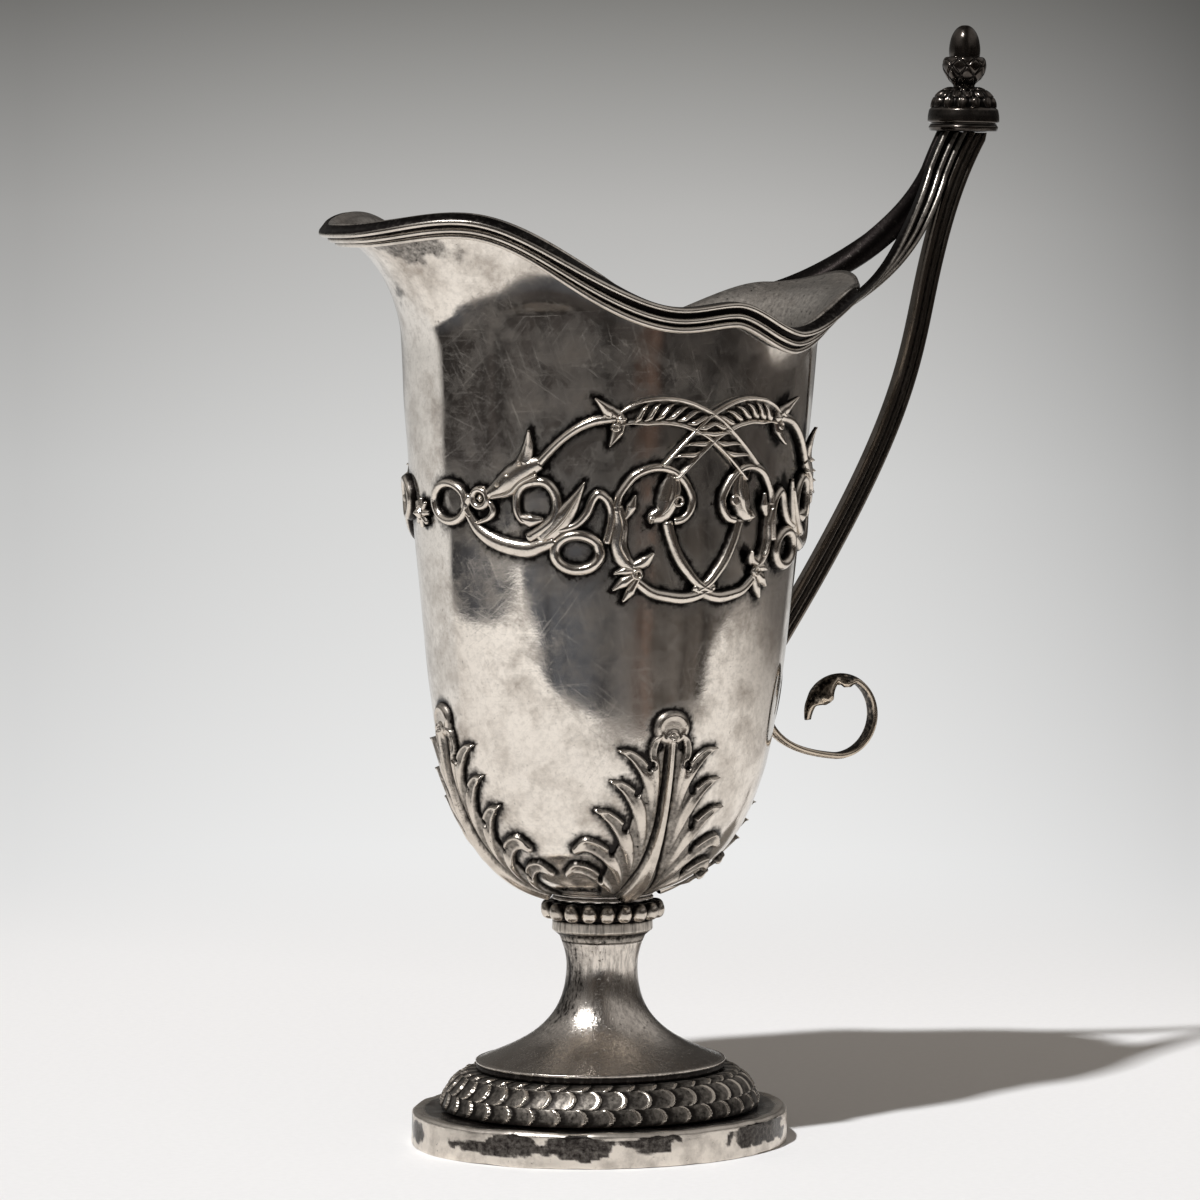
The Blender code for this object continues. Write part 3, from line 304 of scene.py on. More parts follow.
# hammered sheet: bright and dimpled, with a grey-brown film in small soft clouds
plinth_silver = antique_silver(
    "hammered_plinth_silver",
    bright="#e6ded4",
    film="#8b827a",
    tarnish="#26211f",
    polish=0.34,
    dull=0.22,
    stain=0.55,
    patch=5.0,
    ragged=0.64,
    grain=(1.2, 1.2, 1.2),
    cut=60.0,
    haze=0.2,
)
plinth_profile = rounded(
    [
        (PLINTH_BORE, PLINTH_TOP - 0.1),
        (PLINTH_REACH - 4.2, PLINTH_TOP - 0.35),
        (PLINTH_REACH - 0.7, PLINTH_TOP),
        (PLINTH_REACH, PLINTH_TOP - 0.6),
        (PLINTH_REACH + 0.1, PLINTH_TOP / 2),
        (PLINTH_REACH, 0.0),
        (PLINTH_HOLLOW, 0.0),
        (PLINTH_HOLLOW, PLINTH_UNDER),
        (PLINTH_BORE, PLINTH_UNDER),
    ],
    radius=0.35,
    step=0.6,
)
plinth_points = beaten(turned(plinth_profile, 400), size=5.0, depth=0.28)
# the flange is dark near the scales, its edge and the foot of its side are rubbed bright
plinth_wear = np.interp(
    plinth_profile[:, 0], [33.5, 36.0, PLINTH_REACH - 1.2, PLINTH_REACH - 0.6], [0.05, 0.4, 0.6, 1.0]
)
plinth_wear = np.where(plinth_profile[:, 0] < PLINTH_HOLLOW + 0.1, np.minimum(plinth_wear, 0.2), plinth_wear)
# where the side was hammered thin the old dark skin is left in ragged patches over its upper part
plinth_bias = np.interp(plinth_profile[:, 1], [0.8, 2.2, 3.4, 5.8, 6.6], [-0.6, -0.12, 0.16, 0.1, -0.5])
plinth_patch = [
    noise.noise(Vector(point) / 9.0) + 0.4 * noise.noise(Vector(point) / 2.2)
    for point in plinth_points.reshape(-1, 3)
]
plinth_patch = np.array(plinth_patch).reshape(plinth_points.shape[:2]) + plinth_bias[:, None]
plinth_side = (plinth_profile[:, 0] > PLINTH_REACH - 0.5)[:, None]
plinth_wear = np.where(plinth_side, 1.0 - 0.85 * np.clip(plinth_patch * 9, 0, 1), plinth_wear[:, None])
plinth = make("plinth_skin", [sheet(plinth_points, plinth_wear, across=True)], plinth_silver)
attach(plinth, "root")
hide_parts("plinth")


# Scale band
# A coved oval wall soldered on the plinth. Three rows of overlapping scales are chased into it, with their
# round ends turned one way round the foot, and the top row runs half under the trumpet's rim.

SCALE_COUNT = 37
SCALE_ROWS = 2.5  # the top row is half hidden
SCALE_REACH = 0.4  # how far a scale's round end stands past its row, in pitches
BAND_LOW, BAND_HIGH = 7.3, 14.7
BAND_TOP_REACH = 26.6
BAND_SPREAD = 6.4  # how much wider it is at its foot
BAND_BULGE = 1.9
SCALE_RELIEF = 0.58
band_columns = SCALE_COUNT * 18
band_turn = np.linspace(0, 2 * np.pi, band_columns, endpoint=False)
band_down = np.linspace(0, 1, 60)[:, None]
band_row = band_down * SCALE_ROWS + 0.5
band_side = band_row - np.floor(band_row) - 0.5
band_tip = SCALE_REACH * np.sqrt(np.maximum(0, 1 - (2 * band_side) ** 2))
band_place = band_turn / (2 * np.pi) * SCALE_COUNT + 0.5 * np.floor(band_row)
band_behind = band_tip - (band_place - np.floor(band_place - band_tip) - 1)
band_relief = 1 - 0.9 * band_behind**1.6 + 0.65 * np.exp(-(((band_behind - 0.06) / 0.055) ** 2))
band_relief = band_relief + 0.25 * (1 - (2 * band_side) ** 4)
band_relief = band_relief * np.clip(8 * (1 - band_down), 0, 1) * np.clip(12 * band_down, 0, 1)
band_bulge = BAND_BULGE * np.sin(np.pi * band_down) + SCALE_RELIEF * band_relief
band_reach = BAND_TOP_REACH + BAND_SPREAD * band_down + 0.7 * band_bulge
band_height = BAND_LOW + (BAND_HIGH - BAND_LOW) * (1 - band_down) + 0.5 * band_bulge * (1 - band_down)
band_front = np.stack(
    np.broadcast_arrays(
        FOOT_X - band_reach * np.cos(band_turn), -OVAL * band_reach * np.sin(band_turn), band_height
    ),
    axis=-1,
)
band_back = turned([(28.84, BAND_LOW), (24.0, BAND_HIGH)], band_columns)
band_back[..., :2] = 2 * np.array([FOOT_X, 0.0]) - band_back[..., :2]
band_wear = np.interp(band_behind, [0, 0.11, 0.18, 0.7, 0.9], [1.0, 1.0, 0.26, 0.18, 0.0])
band_wear = band_wear * np.clip(6 * (1.02 - band_down), 0.1, 1)
band_wear = band_wear * np.clip(1.6 - 3.0 * np.abs(band_side) ** 2.5, 0.1, 1)
band_wear = np.vstack([band_wear, np.full((2, band_columns), 0.2)])
# chased and seldom polished: dark film and black dirt, with a dull gleam on each scale's lip
band_silver = antique_silver(
    "chased_scale_silver",
    bright="#d8cfc4",
    film="#645c54",
    tarnish="#1a1613",
    polish=0.2,
    dull=0.42,
    stain=0.5,
    patch=5.0,
    grain=(0.9, 0.9, 0.9),
    cut=60.0,
    haze=0.2,
)
scale_band = make(
    "scale_band_skin", [sheet(np.vstack([band_front, band_back]), band_wear, across=True)], band_silver
)
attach(scale_band, "root")
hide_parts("scale_band")


# Trumpet foot
# A thin oval trumpet raised from sheet, with a sharp rim that sits over the scales. It narrows to a waist
# under the collar and is filed up and down its stem.

def cubic(points, t):
    """The point of a curve with four handles."""
    a, b, c, d = [np.asarray(point, float) for point in points]
    t = np.asarray(t, float)[..., None]
    return a * (1 - t) ** 3 + b * 3 * t * (1 - t) ** 2 + c * 3 * t * t * (1 - t) + d * t**3


TRUMPET_LOW = 15.0
TRUMPET_WALL = 1.4
TRUMPET_COLUMNS = 240
trumpet_bell = cubic([(25.6, 1.7), (14.5, 5.7), (7.4, 9.7), (7.4, 20.6)], np.linspace(0, 1, 60))
trumpet_neck = cubic([(7.4, 20.6), (7.4, 22.5), (7.9, 24.2), (8.5, 25.8)], np.linspace(0, 1, 14)[1:])
trumpet_out = np.vstack([trumpet_bell, trumpet_neck]) + (0.0, TRUMPET_LOW)
trumpet_in = (trumpet_out - (TRUMPET_WALL, 0.0))[::-1]
# an upright rim about 1.3 mm high; its face is painted dark as shade under its edge, and its edge is worn
# bright
trumpet_lip = np.array(
    [
        (24.4, 14.9), (25.2, 14.8), (25.75, 14.95), (25.8, 15.4), (25.8, 16.1), (26.0, 16.35),
        (26.0, 16.6), (25.8, 16.75),
    ]
)
trumpet_profile = np.vstack([trumpet_lip, trumpet_out, trumpet_in])
trumpet_lip_wear_and_shade = [0.0, 0.05, 0.1, 0.1, 0.1, 0.9, 1.0, 1.0]
trumpet_out_wear = np.interp(
    np.linspace(0, 1, len(trumpet_out)), [0, 0.06, 0.3, 0.75, 1], [1, 0.7, 0.72, 0.8, 0.95]
)
trumpet_wear_and_shade = np.concatenate([trumpet_lip_wear_and_shade, trumpet_out_wear, np.full(len(trumpet_in), 0.2)])
# filed up and down, so its gleam breaks into fine upright lines with dirt in them
trumpet_silver = antique_silver(
    "filed_trumpet_silver",
    bright="#e2dad1",
    film="#7d746c",
    tarnish="#211d1b",
    polish=0.13,
    dull=0.38,
    stain=0.55,
    patch=8.0,
    grain=(0.8, 0.8, 6.0),
    cut=80.0,
    filed=0.45,
    haze=0.1,
)
trumpet_points = beaten(turned(trumpet_profile, TRUMPET_COLUMNS), size=6.0, depth=0.06)
# painted shade: its waist is darkened towards the spout and the handle, the edges of the stem as the camera
# sees it, and stays lighter on the jug's two long sides
trumpet_edge_shade = np.interp(trumpet_profile[:, 1] - TRUMPET_LOW, [5.0, 12.0], [0.0, 0.65])
trumpet_ends = np.cos(np.linspace(0, 2 * np.pi, TRUMPET_COLUMNS, endpoint=False)) ** 2
trumpet_wear_and_shade = trumpet_wear_and_shade[:, None] * (1 - trumpet_edge_shade[:, None] * trumpet_ends)
trumpet = make("trumpet_skin", [sheet(trumpet_points, trumpet_wear_and_shade, across=True)], trumpet_silver)
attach(trumpet, "root")
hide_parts("foot_trumpet")


# Stem collar
# A small hollow cone cast with a short upright band, soldered on the trumpet's top under the beads and
# left with the marks of the file.

collar_low, collar_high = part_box("stem_collar")
COLLAR_LOW, COLLAR_HIGH = collar_low[2] / MM, collar_high[2] / MM
collar_profile = rounded(
    [
        (5.0, COLLAR_HIGH),
        (10.4, COLLAR_HIGH),
        (10.45, COLLAR_HIGH - 2.0),
        (10.0, COLLAR_HIGH - 2.3),
        (8.9, COLLAR_LOW + 0.7),
        (8.55, COLLAR_LOW - 0.25),
        (5.0, COLLAR_LOW),
    ],
    radius=0.2,
    step=0.5,
)
# left as the file left it: dull, with coarse upright marks full of dirt
collar_silver = antique_silver(
    "filed_collar_silver",
    bright="#ddd5cb",
    film="#7a7067",
    tarnish="#211d1a",
    polish=0.3,
    dull=0.5,
    stain=0.5,
    patch=4.0,
    grain=(0.7, 0.7, 6.0),
    cut=150.0,
    filed=0.6,
)
collar_wear = np.interp(
    collar_profile[:, 1],
    [COLLAR_LOW, COLLAR_HIGH - 2.4, COLLAR_HIGH - 2.2, COLLAR_HIGH - 0.6, COLLAR_HIGH],
    [0.5, 0.2, 1.0, 0.85, 0.3],
)
collar = make(
    "collar_skin", [sheet(turned(collar_profile, 160), collar_wear[:, None], across=True)], collar_silver
)
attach(collar, "root")
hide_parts("stem_collar")


# Bead ring
# Eighteen barrel beads cast in one ring round the stem. Their shoulders are worn bright and the gaps
# between them are black with old polish.

BEAD_COUNT = 18
BEAD_CORE = 10.8
BEAD_HALF_DEPTH = 2.15
BEAD_HALF_BREADTH = 1.66
BEAD_SIDES = 28
bead_low, bead_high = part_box("bead_ring")
BEAD_MIDDLE = (bead_low[2] + bead_high[2]) / 2 / MM
BEAD_HEIGHT = (bead_high[2] - bead_low[2]) / MM
bead_fine = np.linspace(0, 2 * np.pi, 3601)
bead_run = np.concatenate(
    [[0], np.cumsum(np.hypot(np.diff(np.cos(bead_fine)), OVAL * np.diff(np.sin(bead_fine))))]
)
bead_turns = np.interp((np.arange(BEAD_COUNT) + 0.5) / BEAD_COUNT * bead_run[-1], bead_run, bead_fine)
bead_core = rounded(
    [
        (5.0, BEAD_MIDDLE - 1.7),
        (5.0, BEAD_MIDDLE + 1.7),
        (11.2, BEAD_MIDDLE + 1.6),
        (11.2, BEAD_MIDDLE - 1.6),
    ],
    radius=0.3,
)
bead_sheets = [sheet(turned(bead_core, 120), 0.05, across=True)]
for turn in bead_turns:
    up = np.linspace(-np.pi / 2, np.pi / 2, 21)[:, None]
    ring = np.linspace(0, 2 * np.pi, BEAD_SIDES, endpoint=False)
    girth = np.cos(up) ** 0.62
    out = np.array([OVAL * math.cos(turn), math.sin(turn), 0.0])
    out /= np.linalg.norm(out)
    side = np.array([-out[1], out[0], 0.0])
    seat = np.array([FOOT_X + BEAD_CORE * math.cos(turn), OVAL * BEAD_CORE * math.sin(turn), BEAD_MIDDLE])
    bead = seat + (girth * np.cos(ring))[..., None] * out * BEAD_HALF_DEPTH
    bead = bead + (girth * np.sin(ring))[..., None] * side * BEAD_HALF_BREADTH
    bead = bead + (np.sin(up) * np.ones(BEAD_SIDES))[..., None] * np.array([0.0, 0.0, BEAD_HEIGHT / 2])
    bead_wear = np.clip(0.85 - 0.6 * np.sin(up) - 0.8 * np.abs(np.sin(ring)) ** 3, 0.02, 1.0)
    bead_sheets.append(sheet(bead, bead_wear))
# cast and worn by polishing: bright shoulders over black gaps
bead_silver = antique_silver(
    "worn_bead_silver",
    bright="#ddd4c9",
    film="#6d635b",
    tarnish="#171311",
    polish=0.15,
    dull=0.45,
    stain=0.4,
    patch=3.0,
)
bead_ring = make("bead_ring_skin", bead_sheets, bead_silver)
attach(bead_ring, "root")
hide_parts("bead_ring")


# Seat ring
# The drawn wire ring with a line cut round it, on which the bowl is soldered. Polishing has worn its two
# edges bright and left the line dark.

seat_low, seat_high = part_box("seat_ring")
SEAT_LOW, SEAT_HIGH = seat_low[2] / MM, seat_high[2] / MM
SEAT_REACH = (seat_high[0] - seat_low[0]) / 2 / MM
SEAT_MIDDLE = (SEAT_LOW + SEAT_HIGH) / 2
seat_profile = rounded(
    [
        (5.0, SEAT_HIGH + 0.2),
        (SEAT_REACH - 0.2, SEAT_HIGH + 0.2),
        (SEAT_REACH, SEAT_MIDDLE + 0.35),
        (SEAT_REACH - 0.45, SEAT_MIDDLE),
        (SEAT_REACH, SEAT_MIDDLE - 0.35),
        (SEAT_REACH - 0.2, SEAT_LOW - 0.2),
        (5.0, SEAT_LOW - 0.2),
    ],
    radius=0.2,
)
seat_wear = np.clip(1.0 - 2.2 * (SEAT_REACH - seat_profile[:, 0]), 0.1, 1.0)
# drawn wire: a narrow bright line on each side of a dark one
seat_silver = antique_silver(
    "drawn_wire_silver",
    bright="#d6cfc8",
    film="#6d645d",
    tarnish="#1f1b18",
    polish=0.2,
    dull=0.5,
    stain=0.5,
    patch=3.0,
)
seat_ring = make(
    "seat_ring_skin", [sheet(turned(seat_profile, 160), seat_wear[:, None], across=True)], seat_silver
)
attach(seat_ring, "root")
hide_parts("seat_ring")


# Bowl
# The helmet-shaped body, raised from one sheet of silver over stakes and planished, so that its wall holds
# soft waves. Its rim rises and dips, flares out to a wide lip, and ends in a plain edge.

BOWL_LOW = 50.9
BOWL_WALL = 1.1
BELLY_RISE = 25.8  # height of the round belly, where the straighter side begins
FLARE_TURN = math.radians(64.0)
FLARE_DEPTHS = {"spout": 24.0, "side": 9.0, "back": 13.0}
RIM_REACHES = {"spout": 59.8, "side": 36.6, "back": 53.4}
LIP_ROWS = 30
RIM_STOPS = [0.0, 40.0, 87.0, 99.0, 117.0, 150.0, 180.0]  # degrees from the spout
RIM_RISES = [132.2, 134.7, 117.1, 118.2, 113.1, 121.2, 123.8]
RIM_HASTES = [1.5, 1.15, 1.0, 1.0, 0.85, 1.0]  # below 1 leaves a stop quickly, above 1 slowly
bowl_line = np.vstack(
    [
        cubic([(10.8, 0.0), (22.3, 2.322), (30.17, 11.61), (33.8, BELLY_RISE)], np.linspace(0, 1, 90)),
        cubic([(33.8, BELLY_RISE), (36.62, 37.57), (41.7, 84.6), (43.2, 116.3)], np.linspace(0, 1, 90))[1:],
    ]
)


def ease(t):
    """A share that starts and ends gently."""
    return t * t * (3 - 2 * t)


def wall(angle, height, off=0.0):
    """Points on the bowl's wall, at angles in degrees from the spout towards the near side."""
    angle, height = np.broadcast_arrays(np.asarray(angle, float), np.asarray(height, float))
    turn = np.radians(angle)
    reach = np.interp(height - BOWL_LOW, bowl_line[:, 1], bowl_line[:, 0])
    points = np.stack([FOOT_X - reach * np.cos(turn), -OVAL * reach * np.sin(turn), height], axis=-1)
    if np.all(np.asarray(off) == 0.0):
        return points
    return points + wall_out(angle, height) * np.asarray(off)[..., None]


def wall_out(angle, height):
    """The directions that the wall faces there."""
    along = wall(angle + 0.5, height) - wall(angle - 0.5, height)
    up = wall(angle, height + 0.7) - wall(angle, height - 0.7)
    out = np.cross(along, up)
    return out / np.linalg.norm(out, axis=-1, keepdims=True)


def rim_rise(angle):
    """Height of the rim over the bowl's seat."""
    turn = np.abs((np.asarray(angle, float) + 180.0) % 360.0 - 180.0)
    stop = np.clip(np.searchsorted(RIM_STOPS, turn, side="right") - 1, 0, len(RIM_HASTES) - 1)
    stops, rises, hastes = np.array(RIM_STOPS), np.array(RIM_RISES), np.array(RIM_HASTES)
    share = np.clip((turn - stops[stop]) / (stops[stop + 1] - stops[stop]), 0, 1) ** hastes[stop]
    return rises[stop] + (rises[stop + 1] - rises[stop]) * ease(share)


def flare(angle, share):
    """Points of the flare: share 0 is where it leaves the wall, 1 is the rim's edge."""
    angle, share = np.broadcast_arrays(np.asarray(angle, float), np.asarray(share, float))
    turn = np.radians(angle)
    ahead = np.cos(turn)
    ends = np.where(ahead > 0, FLARE_DEPTHS["spout"], FLARE_DEPTHS["back"])
    depth = FLARE_DEPTHS["side"] + (ends - FLARE_DEPTHS["side"]) * ahead**2
    top = BOWL_LOW + rim_rise(angle)
    lift = np.sin(share * FLARE_TURN) / math.sin(FLARE_TURN)
    out = (1 - np.cos(share * FLARE_TURN)) / (1 - math.cos(FLARE_TURN))
    reach = np.where(ahead > 0, RIM_REACHES["spout"], RIM_REACHES["back"])
    edge = np.stack([FOOT_X - reach * ahead, -RIM_REACHES["side"] * np.sin(turn), top], axis=-1)
    return wall(angle, top - depth + depth * lift) + (edge - wall(angle, top)) * out[..., None] * (1, 1, 0)


def bowl_rows(columns, belly, side, lip):
    """Rows of points from the seat up the wall and out to the rim."""
    angle = np.arange(columns) * 360.0 / columns
    low = BOWL_LOW + BELLY_RISE * (1 - np.cos(np.linspace(0, np.pi / 2, belly, endpoint=False)))
    start = flare(angle, 0.0)[:, 2]
    belly_top = BOWL_LOW + BELLY_RISE
    middle = belly_top + (start - belly_top) * np.linspace(0, 1, side, endpoint=False)[:, None]
    return np.vstack(
        [
            wall(angle[None, :], low[:, None]),
            wall(np.broadcast_to(angle, middle.shape), middle),
            flare(angle[None, :], np.linspace(0, 1, lip)[:, None]),
        ]
    )


def faces_out(grid):
    """The directions that a grid of the bowl faces."""
    along = np.roll(grid, -1, 1) - np.roll(grid, 1, 1)
    out = np.cross(along, np.gradient(grid, axis=0))
    return out / np.linalg.norm(out, axis=-1, keepdims=True)


bowl_outside = bowl_rows(400, belly=44, side=88, lip=LIP_ROWS)
bowl_inside = bowl_rows(400, belly=8, side=10, lip=12)
bowl_inside = bowl_inside - faces_out(bowl_inside) * BOWL_WALL
for rows, size, depth in ((bowl_outside, 13.0, 0.13), (bowl_outside, 34.0, 0.2), (bowl_inside, 16.0, 0.12)):
    waves = np.array([noise.noise(Vector(point) / size) for point in rows.reshape(-1, 3)])
    rows += faces_out(rows) * waves.reshape(rows.shape[:2] + (1,)) * depth
# outside and inside both close at the middle, over the seat
bowl_middle = np.array([FOOT_X, 0.0, 0.0])
bowl_base = (bowl_outside[:1] - bowl_middle) * (0.02, 0.02, 1.0) + bowl_middle
bowl_floor = (bowl_inside[:1] - bowl_middle) * (0.02, 0.02, 1.0) + bowl_middle
bowl_points = np.vstack([bowl_base, bowl_outside, bowl_inside[::-1], bowl_floor])
# planished, polished and then tarnished: nearly a mirror under brown clouds, fine scratches and pits
bowl_silver = antique_silver(
    "planished_bowl_silver",
    bright="#eee7de",
    film="#86796c",
    tarnish="#1b1715",
    polish=0.05,
    dull=0.26,
    stain=0.85,
    patch=9.0,
    ragged=0.76,
    grain=(1.2, 1.2, 1.2),
    cut=7.0,
    filed=0.14,
    haze=0.22,
    speckle=0.12,
    scratched=0.28,
)
bowl = make("bowl_skin", [sheet(bowl_points, 0.9)], bowl_silver)
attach(bowl, "root")
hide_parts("bowl")


# Leaves
# Four cast leaves soldered under the belly, one at the spout, one on each side and a short one under the
# handle. Each has a ridged midrib, curled lobes with veins, and a rounded tip with a small boss.

def smooth_path(points, count):
    """Points on the curve that runs through these ones, so many to each span."""
    points = np.asarray(points, float)
    ends = np.vstack([points[:1] * 2 - points[1:2], points, points[-1:] * 2 - points[-2:-1]])
    t = np.linspace(0, 1, count, endpoint=False)[:, None]
    path = []
    for a, b, c, d in zip(ends, ends[1:], ends[2:], ends[3:]):
        bend = 2 * a - 5 * b + 4 * c - d
        twist = 3 * b - a - 3 * c + d
        path.append(b + (c - a) * (0.5 * t) + bend * (0.5 * t * t) + twist * (0.5 * t**3))
    return np.vstack(path + [points[-1:]])


ROUND_CUT = [(math.cos(a), math.sin(a)) for a in np.linspace(0, math.pi, 11)]
APPLIED_ROOT = -0.5  # how far the edges of applied work run into the wall


def stroke(path, halves, heights, cut=ROUND_CUT, count=8, lift=0.0, closed=False):
    """A raised strip on the wall along (angle, height) points, with its half widths and heights on the way.

    Its section is the cut, in half widths across and heights outwards. The lift bends its end off the wall.
    """
    if closed:
        path = smooth_path(list(path) + list(path[:3]), count)[count : -2 * count]
    else:
        path = smooth_path(path, count)
    share = np.linspace(0, 1, len(path))
    half = np.interp(share, np.linspace(0, 1, len(np.atleast_1d(halves))), np.atleast_1d(halves))
    tall = np.interp(share, np.linspace(0, 1, len(np.atleast_1d(heights))), np.atleast_1d(heights))
    foot = wall(path[:, 0], path[:, 1])
    out = wall_out(path[:, 0], path[:, 1])
    heading = np.roll(foot, -1, 0) - np.roll(foot, 1, 0) if closed else np.gradient(foot, axis=0)
    side = np.cross(out, heading)
    side /= np.maximum(np.linalg.norm(side, axis=-1, keepdims=True), 1e-9)
    foot = foot + out * (lift * share**2)[:, None]
    section = np.array([(0.8, 0.0)] + list(cut) + [(-0.8, 0.0)])
    high = section[:, 1] * tall[:, None]
    high[:, [0, -1]] = APPLIED_ROOT if lift == 0.0 else 0.0
    points = foot[:, None] + side[:, None] * (section[:, 0] * half[:, None])[..., None]
    points = points + out[:, None] * high[..., None]
    wear = np.broadcast_to(np.interp(section[:, 1], [0.0, 0.55, 0.9], [0.0, 0.08, 1.0]), points.shape[:2])
    if not closed:
        ends = [end.mean(axis=1, keepdims=True) * 0.96 + end * 0.04 for end in (points[:1], points[-1:])]
        points = np.vstack([ends[0], points, ends[1]])
        wear = np.vstack([wear[:1], wear, wear[-1:]])
    return sheet(points, wear, across=closed), path, half


soiled_and_shaded = []  # (place, half width, reach of the dirt and painted shade) of every applied stroke, for the bowl around it

# each lobe: its path in degrees from the midrib and height, and half widths in mm
LEAF_LOBES = [
    (
        [(18.2, 82.2), (14.0, 81.4), (10.4, 79.6), (7.6, 77.0), (5.8, 73.4), (5.0, 68.5)],
        [0.05, 0.85, 1.25, 1.35, 1.2, 0.9],
    ),
    (
        [(20.8, 76.2), (16.4, 75.2), (12.6, 73.2), (9.5, 70.0), (7.5, 66.0), (6.4, 61.5)],
        [0.05, 0.95, 1.4, 1.55, 1.35, 1.0],
    ),
    (
        [(26.0, 70.4), (21.0, 69.2), (16.6, 66.9), (13.0, 63.4), (10.6, 59.8), (9.2, 56.5)],
        [0.05, 1.05, 1.55, 1.65, 1.4, 1.0],
    ),
    (
        [(34.0, 62.0), (29.0, 63.1), (22.6, 61.6), (17.4, 58.8), (14.0, 56.0), (11.8, 53.4)],
        [0.9, 1.5, 1.6, 1.5, 1.3, 0.9],
    ),
    (
        [(40.5, 57.0), (35.0, 58.2), (28.8, 57.4), (23.0, 55.3), (18.4, 53.6), (14.5, 52.2)],
        [0.7, 1.15, 1.25, 1.15, 0.95, 0.7],
    ),
    (
        [(3.6, 85.2), (5.6, 83.6), (6.2, 81.6), (5.2, 79.4), (4.2, 75.0), (3.6, 70.0)],
        [0.5, 0.7, 0.75, 0.85, 0.8, 0.5],
    ),
]
# dark drops between the lobes: angle, height, size
LEAF_DROPS = [
    (6.6, 78.9, 0.6), (10.2, 73.9, 0.7), (13.6, 66.9, 0.8), (18.4, 62.0, 0.8), (23.6, 56.2, 0.65),
    (3.6, 82.6, 0.5),
]
LEAF_DEGREE = 0.53  # mm to a degree round the belly
LEAF_LOW, LEAF_TOP = 51.2, 91.0
LEAF_SPREAD = 43.0  # degrees from its midrib to its outermost lobe
SHORT_LEAF_TOP = 73.6


def leaf_relief():
    """Places across the leaf in degrees, heights up it, and how far each point stands out of the wall."""
    across, up = np.meshgrid(
        np.linspace(-LEAF_SPREAD, LEAF_SPREAD, 261), np.linspace(LEAF_LOW, LEAF_TOP, 220)
    )
    # the blade under the lobes reaches as far out as the drops between them
    blade = np.interp(
        up, [52, 56, 61.8, 66.7, 73.7, 78.5, 83, 85], [24.0, 22.5, 17.5, 12.8, 9.6, 6.4, 4.0, -6.0]
    )
    blade = blade - np.abs(across)
    out = np.clip(APPLIED_ROOT + 1.6 * (blade * LEAF_DEGREE + 0.3), APPLIED_ROOT, 0.55)
    for path, halves in LEAF_LOBES:
        line = smooth_path(path, 30)
        share = np.linspace(0, 1, len(line))
        half = np.interp(share, np.linspace(0, 1, len(halves)), halves)
        gap = np.hypot(
            (np.abs(across)[..., None] - line[:, 0]) * LEAF_DEGREE, up[..., None] - line[:, 1]
        ) - half
        near = gap.argmin(axis=-1)
        gap = np.take_along_axis(gap, near[..., None], axis=-1)[..., 0]
        inside = np.clip(-gap / half[near], 0, 1)
        fade = np.interp(share[near], [0, 0.2, 0.6, 1], [0.9, 1.0, 0.9, 0.5])
        shape = 1.55 * np.sqrt(1 - (1 - inside) ** 2) * fade
        # a lobe is hollowed along its middle, as with a gouge, and keeps a raised edge
        gouged = np.interp(share[near], [0.06, 0.2, 0.45, 0.65], [0, 1, 1, 0])
        hollow = np.interp(inside, [0.3, 0.75], [0, 1]) * gouged
        out = np.maximum(out, np.where(gap < 0, shape - 0.7 * hollow, np.maximum(APPLIED_ROOT, -2.5 * gap)))
    # the midrib, the cushion at its tip and the small ring on the cushion
    rib = np.interp(up, [51.4, 54, 57, 60, 63, 67, 72, 84.5], [4.8, 3.1, 2.1, 1.4, 1.0, 0.75, 0.62, 0.5])
    rib = np.where(up < 85.3, 1 - np.abs(across) * LEAF_DEGREE / rib, 0.0)
    out = np.maximum(out, np.where(rib > 0, 0.5 + 1.4 * np.sqrt(np.clip(rib * 1.6, 0, 1)), APPLIED_ROOT))
    knob = 1 - np.hypot(across * LEAF_DEGREE / 3.4, (up - 86.4) / 3.6)
    cushion = 1.35 * np.sqrt(np.clip(knob * 3.2, 0, 1)) - 0.3 * np.clip((knob - 0.25) * 4, 0, 1)
    out = np.maximum(out, np.where(knob > 0, cushion, np.maximum(APPLIED_ROOT, 8 * knob)))
    ring = np.hypot(across * LEAF_DEGREE, up - 85.0)
    out = out + 0.45 * np.exp(-(((ring - 0.8) / 0.26) ** 2))
    for angle, height, size in LEAF_DROPS:
        aside = np.abs(across) - angle
        drop = np.hypot(aside * LEAF_DEGREE, (up - height) * 0.75 + aside * 0.12) / size
        out = np.where(drop < 1.6, np.minimum(out, -0.35 + 2.6 * np.clip(drop - 0.8, 0, 1)), out)
    # the grooves on both sides of the midrib, which splay at its foot
    splay = np.interp(up, [51.4, 54.5, 58, 62, 67, 75, 84], [13.0, 8.6, 5.0, 3.2, 2.1, 1.6, 1.4])
    crease = np.exp(-(((np.abs(across) - splay) * LEAF_DEGREE / 0.3) ** 2))
    crease = crease * np.interp(up, [52, 54, 80, 84], [0.4, 1, 1, 0])
    return across, up, np.where(out > 0.15, np.maximum(out - 0.9 * crease, 0.15), out)


leaf_across, leaf_up, leaf_out = leaf_relief()
leaf_crest = np.interp(leaf_out, [0.1, 0.35, 0.55, 0.85, 1.1, 1.4], [0.02, 0.12, 0.34, 0.32, 0.68, 1.0])
# cast and worn: grainy, bright on its ridges and black in its cuts
leaf_silver = antique_silver(
    "cast_leaf_silver",
    bright="#ded5ca",
    film="#756b62",
    tarnish="#1a1614",
    polish=0.16,
    dull=0.45,
    stain=0.4,
    patch=4.0,
    grain=(0.8, 0.8, 0.8),
    cut=45.0,
)
